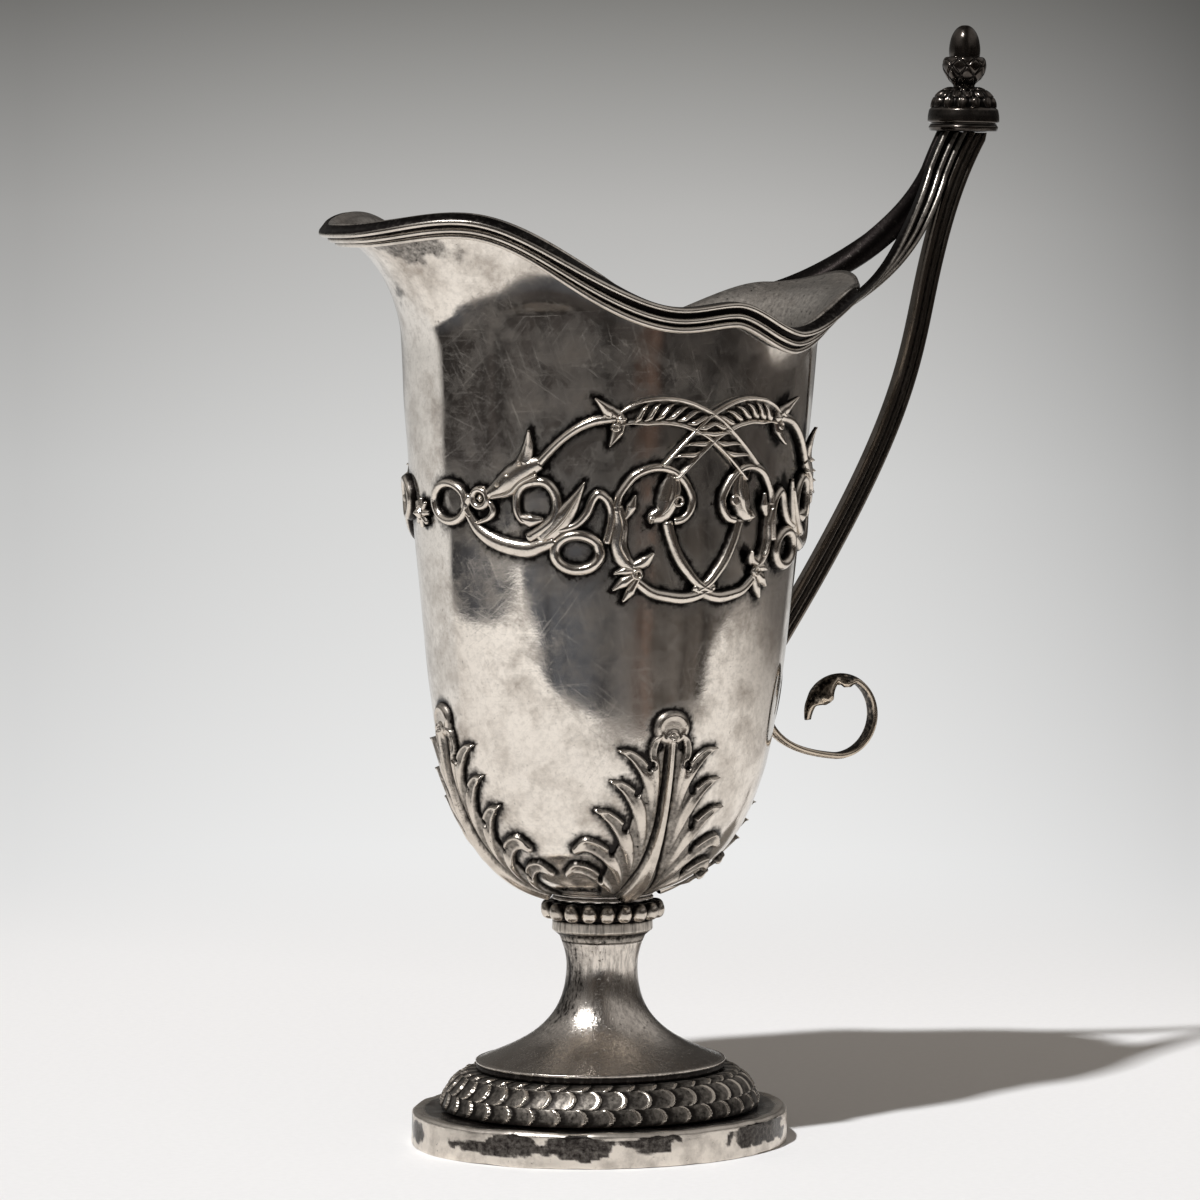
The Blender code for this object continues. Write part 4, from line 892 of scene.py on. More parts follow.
# each leaf: its node, its angle from the spout and the height of its tip
LEAVES = [
    ("leaf_front", 0.0, LEAF_TOP),
    ("leaf_left", 89.0, LEAF_TOP),
    ("leaf_right", 271.0, LEAF_TOP),
    ("leaf_back", 180.0, SHORT_LEAF_TOP),
]
for node, middle, top in LEAVES:
    share = (top - LEAF_LOW) / (LEAF_TOP - LEAF_LOW)
    angle = middle + leaf_across * (1.0 if share == 1.0 else 0.8)
    height = LEAF_LOW + (leaf_up - LEAF_LOW) * share
    piece = make(
        node + "_skin", [sheet(wall(angle, height, leaf_out), leaf_crest, around=False)], leaf_silver
    )
    on_edge = (leaf_out > 0.0) & (leaf_out < 0.6)
    soiled_and_shaded += [((a, z), 0.2, 1.8) for a, z in zip(angle[on_edge], height[on_edge])]
    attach(piece, "root")
    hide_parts(node)


# Frieze
# Cast and pierced scrollwork applied round the bowl: leafy bands that cross over the middle of each side,
# loops with leaves curled inside, rings, a beast-like leaf on each end and a boss under the spout.

FRIEZE_MIDDLE = 96.0
FRIEZE_CLOSER = 0.9  # the half towards the handle is drawn closer together
FRIEZE_DEGREE = 0.66  # mm to a degree round the side
FRONT_BOSS = 127.6
LEAFY_CUT = [(1, 0), (0.98, 0.8), (0.9, 1.0), (0.8, 0.98), (0.68, 0.62), (0.4, 0.55), (0.15, 0.58), (0, 0.6)]
LEAFY_CUT = LEAFY_CUT + [(-across, high) for across, high in LEAFY_CUT[-2::-1]]
# each line: half widths in mm, heights in mm, lift off the wall at its end, then its path
FRIEZE_LINES = [
    (
        [1.0, 1.3, 1.3], [1.6], 0.0,
        [(98.6, 113.4), (94.2, 114.9), (90.6, 117.4), (87.6, 120.1), (85.2, 123.6), (83.6, 127.2)],
    ),
    (
        [1.1, 1.3, 1.1], [1.5], 0.0,
        [(75.0, 115.6), (79.8, 113.3), (85.2, 112.4), (90.0, 112.1), (95.0, 112.8), (99.6, 114.3)],
    ),
    (
        [1.1, 0.9, 1.0, 1.2], [1.7], 0.0,
        [
            (47.5, 138.4), (49.9, 140.2), (53.5, 142.7), (56.5, 144.4), (59.5, 145.7), (63.1, 146.7),
            (68.5, 147.3),
        ],
    ),
    (
        [1.0, 1.0], [1.6], 0.0,
        [
            (69.2, 129.0), (69.6, 131.6), (71.4, 133.9), (74.4, 136.3), (79.2, 137.6), (84.0, 137.3),
            (87.6, 135.5), (90.0, 133.0), (90.9, 131.2), (90.2, 129.2), (88.2, 127.7), (85.6, 127.2),
        ],
    ),
    (
        [1.5, 2.7, 2.8, 2.2, 1.3], [1.3, 1.8, 1.6], 0.0,
        [(85.0, 136.6), (84.4, 133.6), (83.4, 131.0), (82.0, 128.8), (79.0, 127.9)],
    ),
    (
        [1.0, 1.1, 1.0], [1.6], 0.0,
        [
            (53.0, 125.4), (57.6, 126.4), (60.7, 128.6), (62.5, 131.4), (64.3, 132.5), (66.7, 131.3),
            (67.9, 129.0), (67.6, 126.3), (66.4, 123.0),
        ],
    ),
    (
        [1.3, 1.9, 2.0, 1.4], [1.6], 0.0,
        [(69.4, 130.2), (70.4, 126.6), (70.0, 122.8), (71.5, 119.8), (74.6, 117.8)],
    ),
    (
        [1.0, 1.7, 1.9, 1.3], [1.6, 1.8], 0.0,
        [
            (24.0, 128.0), (27.1, 125.3), (31.3, 123.4), (36.7, 122.1), (43.3, 121.5), (47.5, 122.3),
            (51.7, 123.2),
        ],
    ),
    ([0.6, 1.4, 1.1], [1.6], 0.0, [(25.0, 127.6), (22.8, 129.6), (25.0, 131.6)]),
    (
        [0.6, 1.1, 1.2, 1.3], [1.7], 0.0,
        [
            (45.6, 127.8), (42.6, 127.0), (40.7, 129.0), (40.7, 132.0), (42.7, 134.0), (46.9, 134.8),
            (50.0, 134.3), (52.1, 132.3), (52.6, 129.8), (51.5, 127.6), (48.7, 125.8), (43.9, 123.7),
        ],
    ),
    ([0.8, 1.7, 0.5], [1.5, 1.9, 1.3], 0.0, [(41.2, 127.8), (44.6, 127.2), (48.6, 127.4)]),
    (
        [1.1, 2.2, 2.8, 2.7, 1.5], [1.5, 1.9, 1.7], 0.0,
        [(30.8, 131.8), (34.8, 133.0), (38.8, 134.9), (43.2, 137.0), (48.0, 138.4)],
    ),
    ([0.5, 0.8, 0.6], [2.2, 2.2], 0.0, [(33.0, 131.5), (38.6, 132.4), (42.2, 134.6), (47.0, 136.2)]),
    ([1.9, 1.3, 0.2], [1.7, 1.4, 0.7], 2.0, [(43.0, 138.2), (44.6, 141.4), (45.2, 144.9)]),
    (
        [2.6, 2.7, 1.7, 0.2], [1.4, 1.7, 1.0], 1.2,
        [(47.0, 123.6), (52.4, 126.6), (56.6, 130.2), (60.3, 134.9)],
    ),
    ([0.3, 0.6, 0.2], [2.1, 2.2, 1.2], 1.2, [(48.6, 123.6), (54.0, 127.2), (59.2, 133.0)]),
    ([1.5, 1.5, 0.2], [1.6, 1.6, 0.8], 2.2, [(69.8, 147.4), (66.6, 148.7), (62.9, 151.2)]),
    ([1.5, 1.4, 0.2], [1.6, 1.4, 0.8], 1.6, [(70.0, 147.0), (69.0, 144.6), (66.8, 141.9)]),
    ([1.0, 1.4, 0.3], [1.6], 1.2, [(74.0, 118.4), (77.4, 119.4), (79.4, 121.2)]),
    ([0.3, 1.2, 0.8], [1.3, 1.9, 1.6], 0.0, [(68.6, 117.0), (71.8, 117.6), (75.6, 117.6)]),
    ([0.3, 1.4, 0.8], [1.3, 2.0, 1.6], 0.0, [(68.4, 113.8), (71.6, 115.4), (75.4, 117.0)]),
    ([0.3, 1.2, 0.8], [1.3, 1.9, 1.6], 0.0, [(71.4, 111.6), (73.4, 113.6), (75.8, 116.4)]),
    ([0.3, 0.6, 0.3], [2.0, 2.3], 0.0, [(69.8, 129.4), (70.9, 126.4), (70.4, 122.8), (72.4, 119.8)]),
    ([0.8, 0.9, 0.5], [1.5], 0.0, [(32.0, 130.5), (32.9, 129.0), (31.4, 127.4), (27.2, 126.3)]),
    ([0.5, 0.9, 0.3], [1.9, 2.3, 1.6], 0.0, [(84.8, 136.0), (84.8, 133.0), (83.4, 130.0), (81.0, 128.2)]),
    ([0.5, 1.3, 0.3], [1.4, 1.6, 1.0], 0.8, [(71.6, 127.8), (73.2, 130.0), (74.2, 132.4)]),
]
RING_DEGREE = 0.64  # mm to a degree where the rings are
# each ring: middle, half its length and height in mm, half width of its wire, height of its wire
FRIEZE_RINGS = [
    (16.2, 130.1, 4.5, 3.7, 1.0, 1.7),
    (28.6, 131.2, 1.7, 1.7, 0.85, 1.8),
    (58.2, 121.1, 4.2, 3.4, 1.25, 1.9),
    (66.6, 148.1, 0.6, 0.6, 0.5, 1.9),
    (68.6, 145.5, 0.6, 0.6, 0.5, 1.9),
    (75.2, 117.0, 0.8, 0.8, 0.5, 2.0),
    (86.3, 131.2, 0.9, 0.9, 0.5, 1.8),
]
# each drop: middle, half its width and height, and how far it stands out
FRIEZE_DROPS = [
    (28.6, 131.2, 1.1, 1.1, 1.6),
    (79.0, 127.9, 1.2, 1.2, 2.1),
    (35.0, 134.0, 1.0, 1.0, 2.3),
    (38.2, 136.0, 1.0, 1.0, 2.3),
    (41.9, 138.2, 1.0, 1.0, 2.3),
    (70.0, 147.1, 1.5, 1.5, 2.3),
]
LEAFY_BAND = [
    (69.6, 147.0), (73.0, 148.0), (77.4, 148.5), (82.0, 148.7), (87.0, 148.2), (91.6, 147.0),
    (96.0, 145.4), (100.8, 142.7), (105.6, 139.6), (109.8, 136.7),
]


def frieze_drop(angle, height, half, reach, tall):
    """A small raised drop on the wall."""
    path = [(angle, height - reach), (angle, height), (angle, height + reach)]
    return stroke(path, [0.3 * half, half, 0.3 * half], [0.4 * tall, tall, 0.4 * tall], count=5)


def frieze_half(place):
    """The strokes of half a side, each path put in its place by this function."""
    strokes = []
    for halves, heights, lift, path in FRIEZE_LINES:
        strokes.append(stroke(place(path), halves, heights, lift=lift))
    for angle, height, long, tall, wire, high in FRIEZE_RINGS:
        turn = np.linspace(0, 2 * np.pi, 14, endpoint=False)
        spread = long / RING_DEGREE
        ring = [(angle + spread * math.cos(a), height + tall * math.sin(a)) for a in turn]
        strokes.append(stroke(place(ring), wire, high, count=4, closed=True))
    for angle, height, half, reach, tall in FRIEZE_DROPS:
        strokes.append(frieze_drop(*place([(angle, height)])[0], half, reach, tall))
    strokes.append(stroke(place(LEAFY_BAND), [1.3, 2.6, 2.8, 2.7, 2.5, 2.4], [1.6, 2.0], LEAFY_CUT, 10))
    # the leaves along the band, each an S from its lower edge to its upper edge
    band = smooth_path(LEAFY_BAND, 10)
    lean = np.gradient(band * (FRIEZE_DEGREE, 1.0), axis=0)
    lean /= np.linalg.norm(lean, axis=-1, keepdims=True)
    for i in range(9, len(band) - 14, 7):
        blade = []
        for j, off in ((i, -1.7), (i + 4, -1.0), (i + 8, 0.7), (i + 11, 1.5)):
            blade.append(band[j] + np.array([-lean[j][1] / FRIEZE_DEGREE, lean[j][0]]) * off)
        strokes.append(stroke(place(blade), [0.3, 0.8, 0.6, 0.25], [1.4, 2.3, 2.1, 1.5], count=4))
    return strokes


# cast and worn as the leaves are, and a little brighter on its crests
frieze_silver = antique_silver(
    "cast_frieze_silver",
    bright="#e8dfd4",
    film="#756b62",
    tarnish="#161210",
    polish=0.15,
    dull=0.45,
    stain=0.35,
    patch=4.0,
    grain=(0.8, 0.8, 0.8),
    cut=45.0,
)
for node, side in (("frieze_left", 1), ("frieze_right", -1)):
    strokes = frieze_half(lambda path: [(side * a, z) for a, z in path])
    strokes += frieze_half(
        lambda path: [(side * (FRIEZE_MIDDLE + (FRIEZE_MIDDLE - a) * FRIEZE_CLOSER), z) for a, z in path]
    )
    piece = make(node + "_skin", [surface for surface, _, _ in strokes], frieze_silver)
    soiled_and_shaded += [(point, half, 4.2) for _, path, halves in strokes for point, half in zip(path, halves)]
    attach(piece, "root")
    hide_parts(node)

front_strokes = [frieze_drop(0.0, FRONT_BOSS, 1.5, 1.6, 2.6)]
for turn in range(0, 360, 45):
    along, up = math.cos(math.radians(turn)), math.sin(math.radians(turn))
    petal = [(1.8 * along, FRONT_BOSS + 1.2 * up), (4.6 * along, FRONT_BOSS + 2.9 * up)]
    front_strokes.append(stroke(petal, [1.0, 0.5], [1.5, 1.1], count=6))
front_boss = make("frieze_front_skin", [surface for surface, _, _ in front_strokes], frieze_silver)
soiled_and_shaded += [(point, half, 1.5) for _, path, halves in front_strokes for point, half in zip(path, halves)]
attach(front_boss, "root")
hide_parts("frieze_front")

# the dirt that polishing leaves on the bowl round the leaves and the frieze, together with painted shade that
# draws a dark outline close round them
soil_and_shade_tree = kdtree.KDTree(len(soiled_and_shaded))
for i, ((angle, height), _, _) in enumerate(soiled_and_shaded):
    soil_and_shade_tree.insert(Vector(wall(angle, height)), i)
soil_and_shade_tree.balance()
bowl_wear_and_shade = np.empty(bowl_points.shape[0] * bowl_points.shape[1], np.float32)
for i, point in enumerate(bowl_points.reshape(-1, 3)):
    _, nearest, distance = soil_and_shade_tree.find(Vector(point))
    _, half, reach = soiled_and_shaded[nearest]
    clear = max(0.0, distance - half * 0.8)
    reach *= 1 + 0.7 * noise.noise(Vector(point) / 2.2) + 0.7 * noise.noise(Vector(point) / 7.0)
    # painted shade: a narrow dark outline next to each leaf and stroke, inside the dirt that spreads further
    # out
    outline = min(1.0, max(0.0, clear - 0.08 * reach) / 0.6)
    bowl_wear_and_shade[i] = min(0.95, 0.02 + 0.3 * outline + 0.6 * max(0.0, clear - 0.5) / max(0.3, reach))
bowl_wear_and_shade = bowl_wear_and_shade.reshape(bowl_points.shape[:2])
bowl_wear_and_shade[len(bowl_outside) + 1 :] = 0.42
# black smudges that polishing can't reach, in and below the corner under the moulding
lip_rows = range(len(bowl_outside) - LIP_ROWS + 1, len(bowl_outside) + 1)
for row, share in zip(lip_rows, np.linspace(0, 1, LIP_ROWS)):
    smudge = [
        noise.noise(Vector(point) / 8.0) + 0.5 * noise.noise(Vector(point) / 2.5)
        for point in bowl_points[row]
    ]
    near_rim = np.interp(share, [0.0, 0.3, 0.6, 0.85], [-0.6, -0.25, 0.0, 0.45])
    bowl_wear_and_shade[row] *= 1 - np.clip((np.array(smudge) + near_rim) * 1.5, 0, 0.65)
bowl.data.attributes["wear"].data.foreach_set("value", bowl_wear_and_shade.ravel())


# Rim mouldings
# A drawn strip with three reeds, soldered outside the rim in two lengths that meet at the spout. At the
# back each length leaves the bowl as a free ribbon and rises to the cap of the handle.

MOULDING_WIDTH = 5.0
RIM_COVER = 0.8  # how far it stands above the rim's edge
RIM_STANDOFF = 0.42  # from the rim's outside to the strip's back
LEAVING_ANGLE = 145.0
HANDLE_TOP = 204.2
REED_FLOOR = 0.95
REED_RISE = 0.85
RIM_STATIONS = 240
RIBBON_JOIN = 0.42  # share of the leg's upper bend where the ribbons meet it
RIBBON_GAP = 0.15  # from the middle to each ribbon
RIBBON_LEAN = math.radians(10.0)
reed_across = np.linspace(-2.5, 2.5, 61)
reed_out = np.full(61, REED_FLOOR)
for middle, radius in ((1.9, 0.62), (-0.2, 0.62), (-1.85, 0.66)):
    reed = np.sqrt(np.maximum(0, 1 - ((reed_across - middle) / radius) ** 2))
    reed_out = np.maximum(reed_out, REED_FLOOR + REED_RISE * reed)
REEDED_CUT = np.vstack([[(2.4, -0.7)], np.stack([reed_across, reed_out], axis=1)[::-1], [(-2.4, -0.2)]])
REEDED_WEAR = np.concatenate(
    [[0.08], np.interp(reed_out[::-1], [REED_FLOOR, 1.25, 1.6], [0.02, 0.1, 1.0]), [0.08]]
)


def rim_station(angle):
    """Middle of the strip's back at this angle of the rim, with its directions along and outwards."""
    edge = flare(angle, 1.0)
    along = flare(angle + 0.5, 1.0) - flare(angle - 0.5, 1.0)
    along /= np.linalg.norm(along)
    low, high = 0.0, 1.0
    for _ in range(14):
        share = (low + high) / 2
        place = angle
        for _ in range(4):
            off = (flare(place, share) - edge) @ along
            place -= off / ((flare(place + 0.5, share) - flare(place - 0.5, share)) @ along)
        below = flare(place, share)
        low, high = (share, high) if np.linalg.norm(edge - below) > MOULDING_WIDTH else (low, share)
    up = (edge - below) / np.linalg.norm(edge - below)
    out = np.cross(along, up)
    return edge + up * (RIM_COVER - MOULDING_WIDTH / 2) + out * RIM_STANDOFF, along, out


LEG_TOP = np.array([FOOT_X + 84.3, 0.0, HANDLE_TOP])
LEG_ELBOW = np.array([FOOT_X + 74.0, 0.0, 177.7])
LEG_FOOT = wall(180.0, 97.7)
LEG_DEPTH = 4.5  # fore and aft
LEG_SEAM = 0.3  # solder between the leg and the ribbons
leg_bend = LEG_TOP[2] - LEG_ELBOW[2]
leg_drop = LEG_ELBOW[2] - LEG_FOOT[2]
LEG_UPPER = [
    LEG_TOP,
    LEG_TOP - (leg_bend * 0.18, 0, leg_bend * 0.3),
    LEG_ELBOW + (leg_bend * 0.1, 0, leg_bend * 0.4),
    LEG_ELBOW,
]
LEG_LOWER = [
    LEG_ELBOW,
    LEG_ELBOW - (leg_drop * 0.0625, 0, leg_drop * 0.25),
    LEG_FOOT + (leg_drop * 0.42, 0, leg_drop * 0.616),
    LEG_FOOT,
]


def ribbon_on_stem(share):
    """Middle line of the pair of ribbons in front of the leg, and its upward direction."""
    down = cubic(LEG_UPPER, share + 0.01) - cubic(LEG_UPPER, share - 0.01)
    down /= np.linalg.norm(down)
    ahead = np.array([down[2], 0.0, -down[0]])
    return cubic(LEG_UPPER, share) + ahead * (LEG_DEPTH / 2 + LEG_SEAM + MOULDING_WIDTH / 2), -down


strip_stations = [rim_station(angle) for angle in np.linspace(0.05, LEAVING_ANGLE, RIM_STATIONS)]
ribbon_start, ribbon_along, ribbon_out = strip_stations[-1]
ribbon_left = np.array([0.0, -1.0, 0.0])
ribbon_end, ribbon_rising = ribbon_on_stem(RIBBON_JOIN)
ribbon_end = ribbon_end + ribbon_left * RIBBON_GAP
ribbon_span = np.linalg.norm(ribbon_end - ribbon_start)
ribbon_meeting = ribbon_rising * math.cos(RIBBON_LEAN) - ribbon_left * math.sin(RIBBON_LEAN)
ribbon_curve = [
    ribbon_start,
    ribbon_start + ribbon_along * ribbon_span * 0.2,
    ribbon_end - ribbon_meeting * ribbon_span * 0.4,
    ribbon_end,
]
for share in np.linspace(0, 1, 60)[1:]:
    heading = cubic(ribbon_curve, min(1.0, share + 0.01)) - cubic(ribbon_curve, share - 0.01)
    turn = ease(share)
    heading /= np.linalg.norm(heading)
    strip_stations.append((cubic(ribbon_curve, share), heading, ribbon_out * (1 - turn) + ribbon_left * turn))
for share in np.linspace(RIBBON_JOIN, 0.0, 24)[1:]:
    point, heading = ribbon_on_stem(share)
    if point[2] < HANDLE_TOP:
        strip_stations.append((point + ribbon_left * RIBBON_GAP, heading, ribbon_left))
strip_rows = []
for middle, along, out in strip_stations:
    up = np.cross(out, along)
    up /= np.linalg.norm(up)
    out = np.cross(along, up)
    strip_rows.append(middle + up * REEDED_CUT[:, :1] + out * REEDED_CUT[:, 1:])
strip_points = np.array(strip_rows)
# on the free ribbons the back is flat and shows a thin strip instead of solder
strip_free = strip_points[RIM_STATIONS:]
strip_free[:, 0] += (strip_free[:, 1] - strip_free[:, 0]) * 0.35
strip_heading = strip_stations[-1][1]
strip_rise = (HANDLE_TOP - strip_points[-1, :, 2:]) * np.array([strip_heading / strip_heading[2]])
strip_points = np.vstack([strip_points, strip_points[-1:] + strip_rise])
# drawn: long bright lines on the reeds and black dirt between them
moulding_silver = antique_silver(
    "drawn_moulding_silver",
    bright="#e0d8ce",
    film="#5a524b",
    tarnish="#151110",
    polish=0.14,
    dull=0.4,
    stain=0.4,
    patch=6.0,
    grain=(0.7, 0.7, 0.7),
    cut=30.0,
)
# the free ribbons darken towards the handle's top: painted shade that dims the highlights on their reeds,
# together with the dirt of ribbons that are handled but never polished
strip_fade = [RIM_STATIONS - 25, RIM_STATIONS + 10, RIM_STATIONS + 60]
strip_clean_and_shaded = np.interp(np.arange(len(strip_points)), strip_fade, [1.0, 0.55, 0.3])
strip_wear_and_shade = REEDED_WEAR * strip_clean_and_shaded[:, None]
for node, side in (("rim_moulding_left", 1), ("rim_moulding_right", -1)):
    piece = make(node + "_skin", [sheet(strip_points * (1, side, 1), strip_wear_and_shade)], moulding_silver)
    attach(piece, "root")
    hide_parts(node)


# Handle leg
# A bar reeded on both sides, forged to a bend at its top and a long sweep down to the bowl's back, where it
# is soldered to a plate. Its top end is hidden under the cap.

LEG_BREADTH = 3.9
leg_turn = np.linspace(0, 2 * np.pi, 72, endpoint=False)
leg_fore = np.sign(np.cos(leg_turn)) * np.abs(np.cos(leg_turn)) ** 0.55 * LEG_DEPTH / 2
leg_side = np.sign(np.sin(leg_turn)) * np.abs(np.sin(leg_turn)) ** 0.55 * LEG_BREADTH / 2
leg_groove = np.exp(-(((np.abs(leg_fore) - 0.75) / 0.28) ** 2)) * (np.abs(leg_side) > LEG_BREADTH * 0.35)
leg_side = leg_side - np.sign(leg_side) * 0.5 * leg_groove
leg_line = np.vstack([cubic(LEG_UPPER, np.linspace(0, 1, 40)), cubic(LEG_LOWER, np.linspace(0, 1, 90))[1:]])
leg_heading = np.gradient(leg_line, axis=0)
leg_heading /= np.linalg.norm(leg_heading, axis=-1, keepdims=True)
leg_ahead = np.stack([leg_heading[:, 2], np.zeros(len(leg_line)), -leg_heading[:, 0]], axis=-1)
leg_points = leg_line[:, None] + leg_ahead[:, None] * leg_fore[None, :, None]
leg_points = leg_points + leg_side[None, :, None] * np.array([0.0, 1.0, 0.0])
leg_points[0, :, 2] = HANDLE_TOP
leg_wear = np.broadcast_to(0.85 - 0.85 * leg_groove, leg_points.shape[:2])
# never polished: a dark grey-brown skin with a soft gleam
handle_silver = antique_silver(
    "tarnished_handle_silver",
    bright="#7d756d",
    film="#3c3732",
    tarnish="#13100f",
    polish=0.14,
    dull=0.38,
    stain=0.75,
    patch=8.0,
    grain=(1.0, 1.0, 1.0),
    cut=50.0,
)
handle_leg = make("handle_leg_skin", [sheet(leg_points, leg_wear)], handle_silver)
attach(handle_leg, "root")
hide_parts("handle_leg")


# Handle escutcheon
# The oval plate on the bowl's back, cut from sheet and bent to the bowl's curve. The leg and the scroll are
# soldered to it.

PLATE_MIDDLE = 90.2
PLATE_HALF_HEIGHT = 12.3
PLATE_HALF_WIDTH = 8.3
BACK_DEGREE = 0.6  # mm to a degree round the bowl's back
PLATE_SIDES = 72
plate_out = np.linspace(0, 1, 14)[:, None]
plate_turn = np.linspace(0, 2 * np.pi, PLATE_SIDES, endpoint=False)
plate_angle = 180.0 + plate_out * np.sin(plate_turn) * PLATE_HALF_WIDTH / BACK_DEGREE
plate_height = PLATE_MIDDLE + plate_out * np.cos(plate_turn) * PLATE_HALF_HEIGHT
plate_high = 0.3 + 1.2 * np.sqrt(np.maximum(0, 1 - plate_out**6)) + 0.3 * (1 - plate_out**2)
plate_points = wall(plate_angle, plate_height, np.broadcast_to(plate_high, plate_angle.shape))
plate_edge = wall(plate_angle[-1:], plate_height[-1:], np.full((1, PLATE_SIDES), -0.4))
plate_points = np.vstack([plate_points, plate_edge])
plate_wear = np.broadcast_to(0.9 - 0.5 * plate_out**4, plate_angle.shape)
plate_wear = np.vstack([plate_wear, np.full((1, PLATE_SIDES), 0.1)])
escutcheon = make("handle_escutcheon_skin", [sheet(plate_points, plate_wear)], handle_silver)
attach(escutcheon, "root")
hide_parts("handle_escutcheon")


# Handle scroll
# A strip curled up and back on itself under the leg, soldered to the plate by its root and ending in a
# leaf with two lobes.

SCROLL_RADIUS = 8.3
SCROLL_THICK = 1.6
SCROLL_HALF = 1.6
scroll_root = wall(180.0, 84.7, 1.5)
scroll_middle = scroll_root + np.array([18.5 - SCROLL_THICK, 0.0, 0.0])
scroll_run = np.linspace(0, 1, 100)
scroll_turn = np.radians(262.0 + 284.0 * scroll_run)
scroll_reach = SCROLL_RADIUS * (1 - 0.12 * scroll_run**2)
scroll_spoke = np.stack([np.cos(scroll_turn), 0 * scroll_turn, np.sin(scroll_turn)], axis=-1)
scroll_curl = scroll_middle + scroll_spoke * scroll_reach[:, None]
scroll_lead = np.linalg.norm(scroll_curl[0] - scroll_root)
scroll_heading = (scroll_curl[1] - scroll_curl[0]) / np.linalg.norm(scroll_curl[1] - scroll_curl[0])
scroll_spring = [
    scroll_root + (-0.6, 0, 1.2),
    scroll_root + (scroll_lead * 0.08, 0, -scroll_lead * 0.3),
    scroll_curl[0] - scroll_heading * scroll_lead * 0.4,
    scroll_curl[0],
]
scroll_line = np.vstack([cubic(scroll_spring, np.linspace(0, 1, 30))[:-1], scroll_curl])
scroll_share = np.linspace(0, 1, len(scroll_line))
scroll_ahead = np.gradient(scroll_line, axis=0)
scroll_ahead /= np.linalg.norm(scroll_ahead, axis=-1, keepdims=True)
scroll_inward = np.stack([-scroll_ahead[:, 2], 0 * scroll_share, scroll_ahead[:, 0]], axis=-1)
# the leaf opens in two lobes after a notch, then narrows to a blunt tip
scroll_leaf = np.clip((scroll_share - 0.66) / 0.34, 0, 1)
scroll_half = SCROLL_HALF * np.interp(scroll_share, [0, 0.12, 0.5, 0.64, 1], [1.25, 1.0, 0.95, 0.9, 0.8])
scroll_half += np.interp(
    scroll_leaf, [0, 0.16, 0.26, 0.52, 0.64, 0.74, 1], [0, 1.3, 0.3, 1.7, 1.5, 0.2, -0.7]
)
scroll_thick = SCROLL_THICK / 2 * (1 - 0.45 * scroll_leaf)
scroll_side = np.linspace(-1, 1, 31)
scroll_back = 1 - 0.5 * scroll_side**2 - 0.3 * np.exp(-(((np.abs(scroll_side) - 0.55) / 0.1) ** 2))
scroll_hollow = 0.75 - 0.2 * scroll_side**2 - scroll_leaf[:, None] * (0.6 - 1.6 * scroll_side**2)
scroll_back_high = (scroll_thick[:, None] * scroll_back)[..., None]
scroll_hollow_high = (scroll_thick[:, None] * scroll_hollow)[..., None]
scroll_outer = scroll_line[:, None] - scroll_inward[:, None] * scroll_back_high
scroll_inner = scroll_line[:, None] + scroll_inward[:, None] * scroll_hollow_high
# the leaf's edges fold inwards as two hanging lobes
scroll_fold = np.interp(
    scroll_leaf, [0, 0.1, 0.22, 0.3, 0.55, 0.72, 0.8, 1], [0, 1.3, 1.5, 0.4, 2.6, 2.4, 0.5, 0.0]
)
scroll_fold = scroll_inward[:, None] * (scroll_fold[:, None] * np.abs(scroll_side) ** 2.5)[..., None]
scroll_outer = scroll_outer + scroll_fold
scroll_inner = scroll_inner + scroll_fold
scroll_across = (scroll_half[:, None] * scroll_side)[..., None] * np.array([0.0, 1.0, 0.0])
scroll_points = np.hstack([scroll_outer + scroll_across, (scroll_inner + scroll_across)[:, ::-1]])
scroll_tip = scroll_points[-1:].mean(axis=1, keepdims=True)
scroll_points = np.vstack([scroll_points, scroll_tip + (scroll_points[-1:] - scroll_tip) * 0.05])
# its outside is rubbed by the hand up to the leaf, its inside keeps its dirt, and all its edges shine
scroll_rubbed = np.interp(scroll_share, [0, 0.12, 0.5, 0.66, 1], [0.4, 0.7, 0.6, 0.2, 0.25])
scroll_wear = np.hstack([scroll_rubbed[:, None] * scroll_back, np.full_like(scroll_hollow, 0.15)])
scroll_wear += 0.6 * np.abs(np.concatenate([scroll_side, scroll_side[::-1]])) ** 8
scroll_wear = np.clip(np.vstack([scroll_wear, scroll_wear[-1:]]), 0, 1)
# worn silver that lets black dirt through in specks
scroll_silver = antique_silver(
    "worn_scroll_silver",
    bright="#d2c4b2",
    film="#6b6056",
    tarnish="#15110f",
    polish=0.2,
    dull=0.45,
    stain=0.4,
    patch=3.0,
    speckle=0.3,
)
scroll = make("handle_scroll_skin", [sheet(scroll_points, scroll_wear)], scroll_silver)
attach(scroll, "root")
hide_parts("handle_scroll")


# Cap and acorn
# The finial on the handle's top: a ring with a groove, a low dome chased with petals, an acorn cup cut
# with lozenges and a plain nut. They are cast apart and soldered in a pile.

finial_low, finial_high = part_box("cap_band")
FINIAL_X = (finial_low[0] + finial_high[0]) / 2 / MM
cap_profile = rounded(
    [
        (0.3, 204.4), (6.9, 204.4), (7.2, 205.3), (6.7, 205.9), (7.4, 206.3), (7.35, 207.6),
        (7.1, 208.9), (6.5, 209.4), (0.3, 209.4),
    ],
    radius=0.3,
    step=0.4,
)
cap_wear = np.interp(
    cap_profile[:, 1],
    [204.4, 205.2, 205.7, 206.0, 206.4, 206.9, 208.6, 209.2],
    [0.3, 0.9, 0.1, 0.6, 1.0, 0.35, 0.3, 0.8],
)
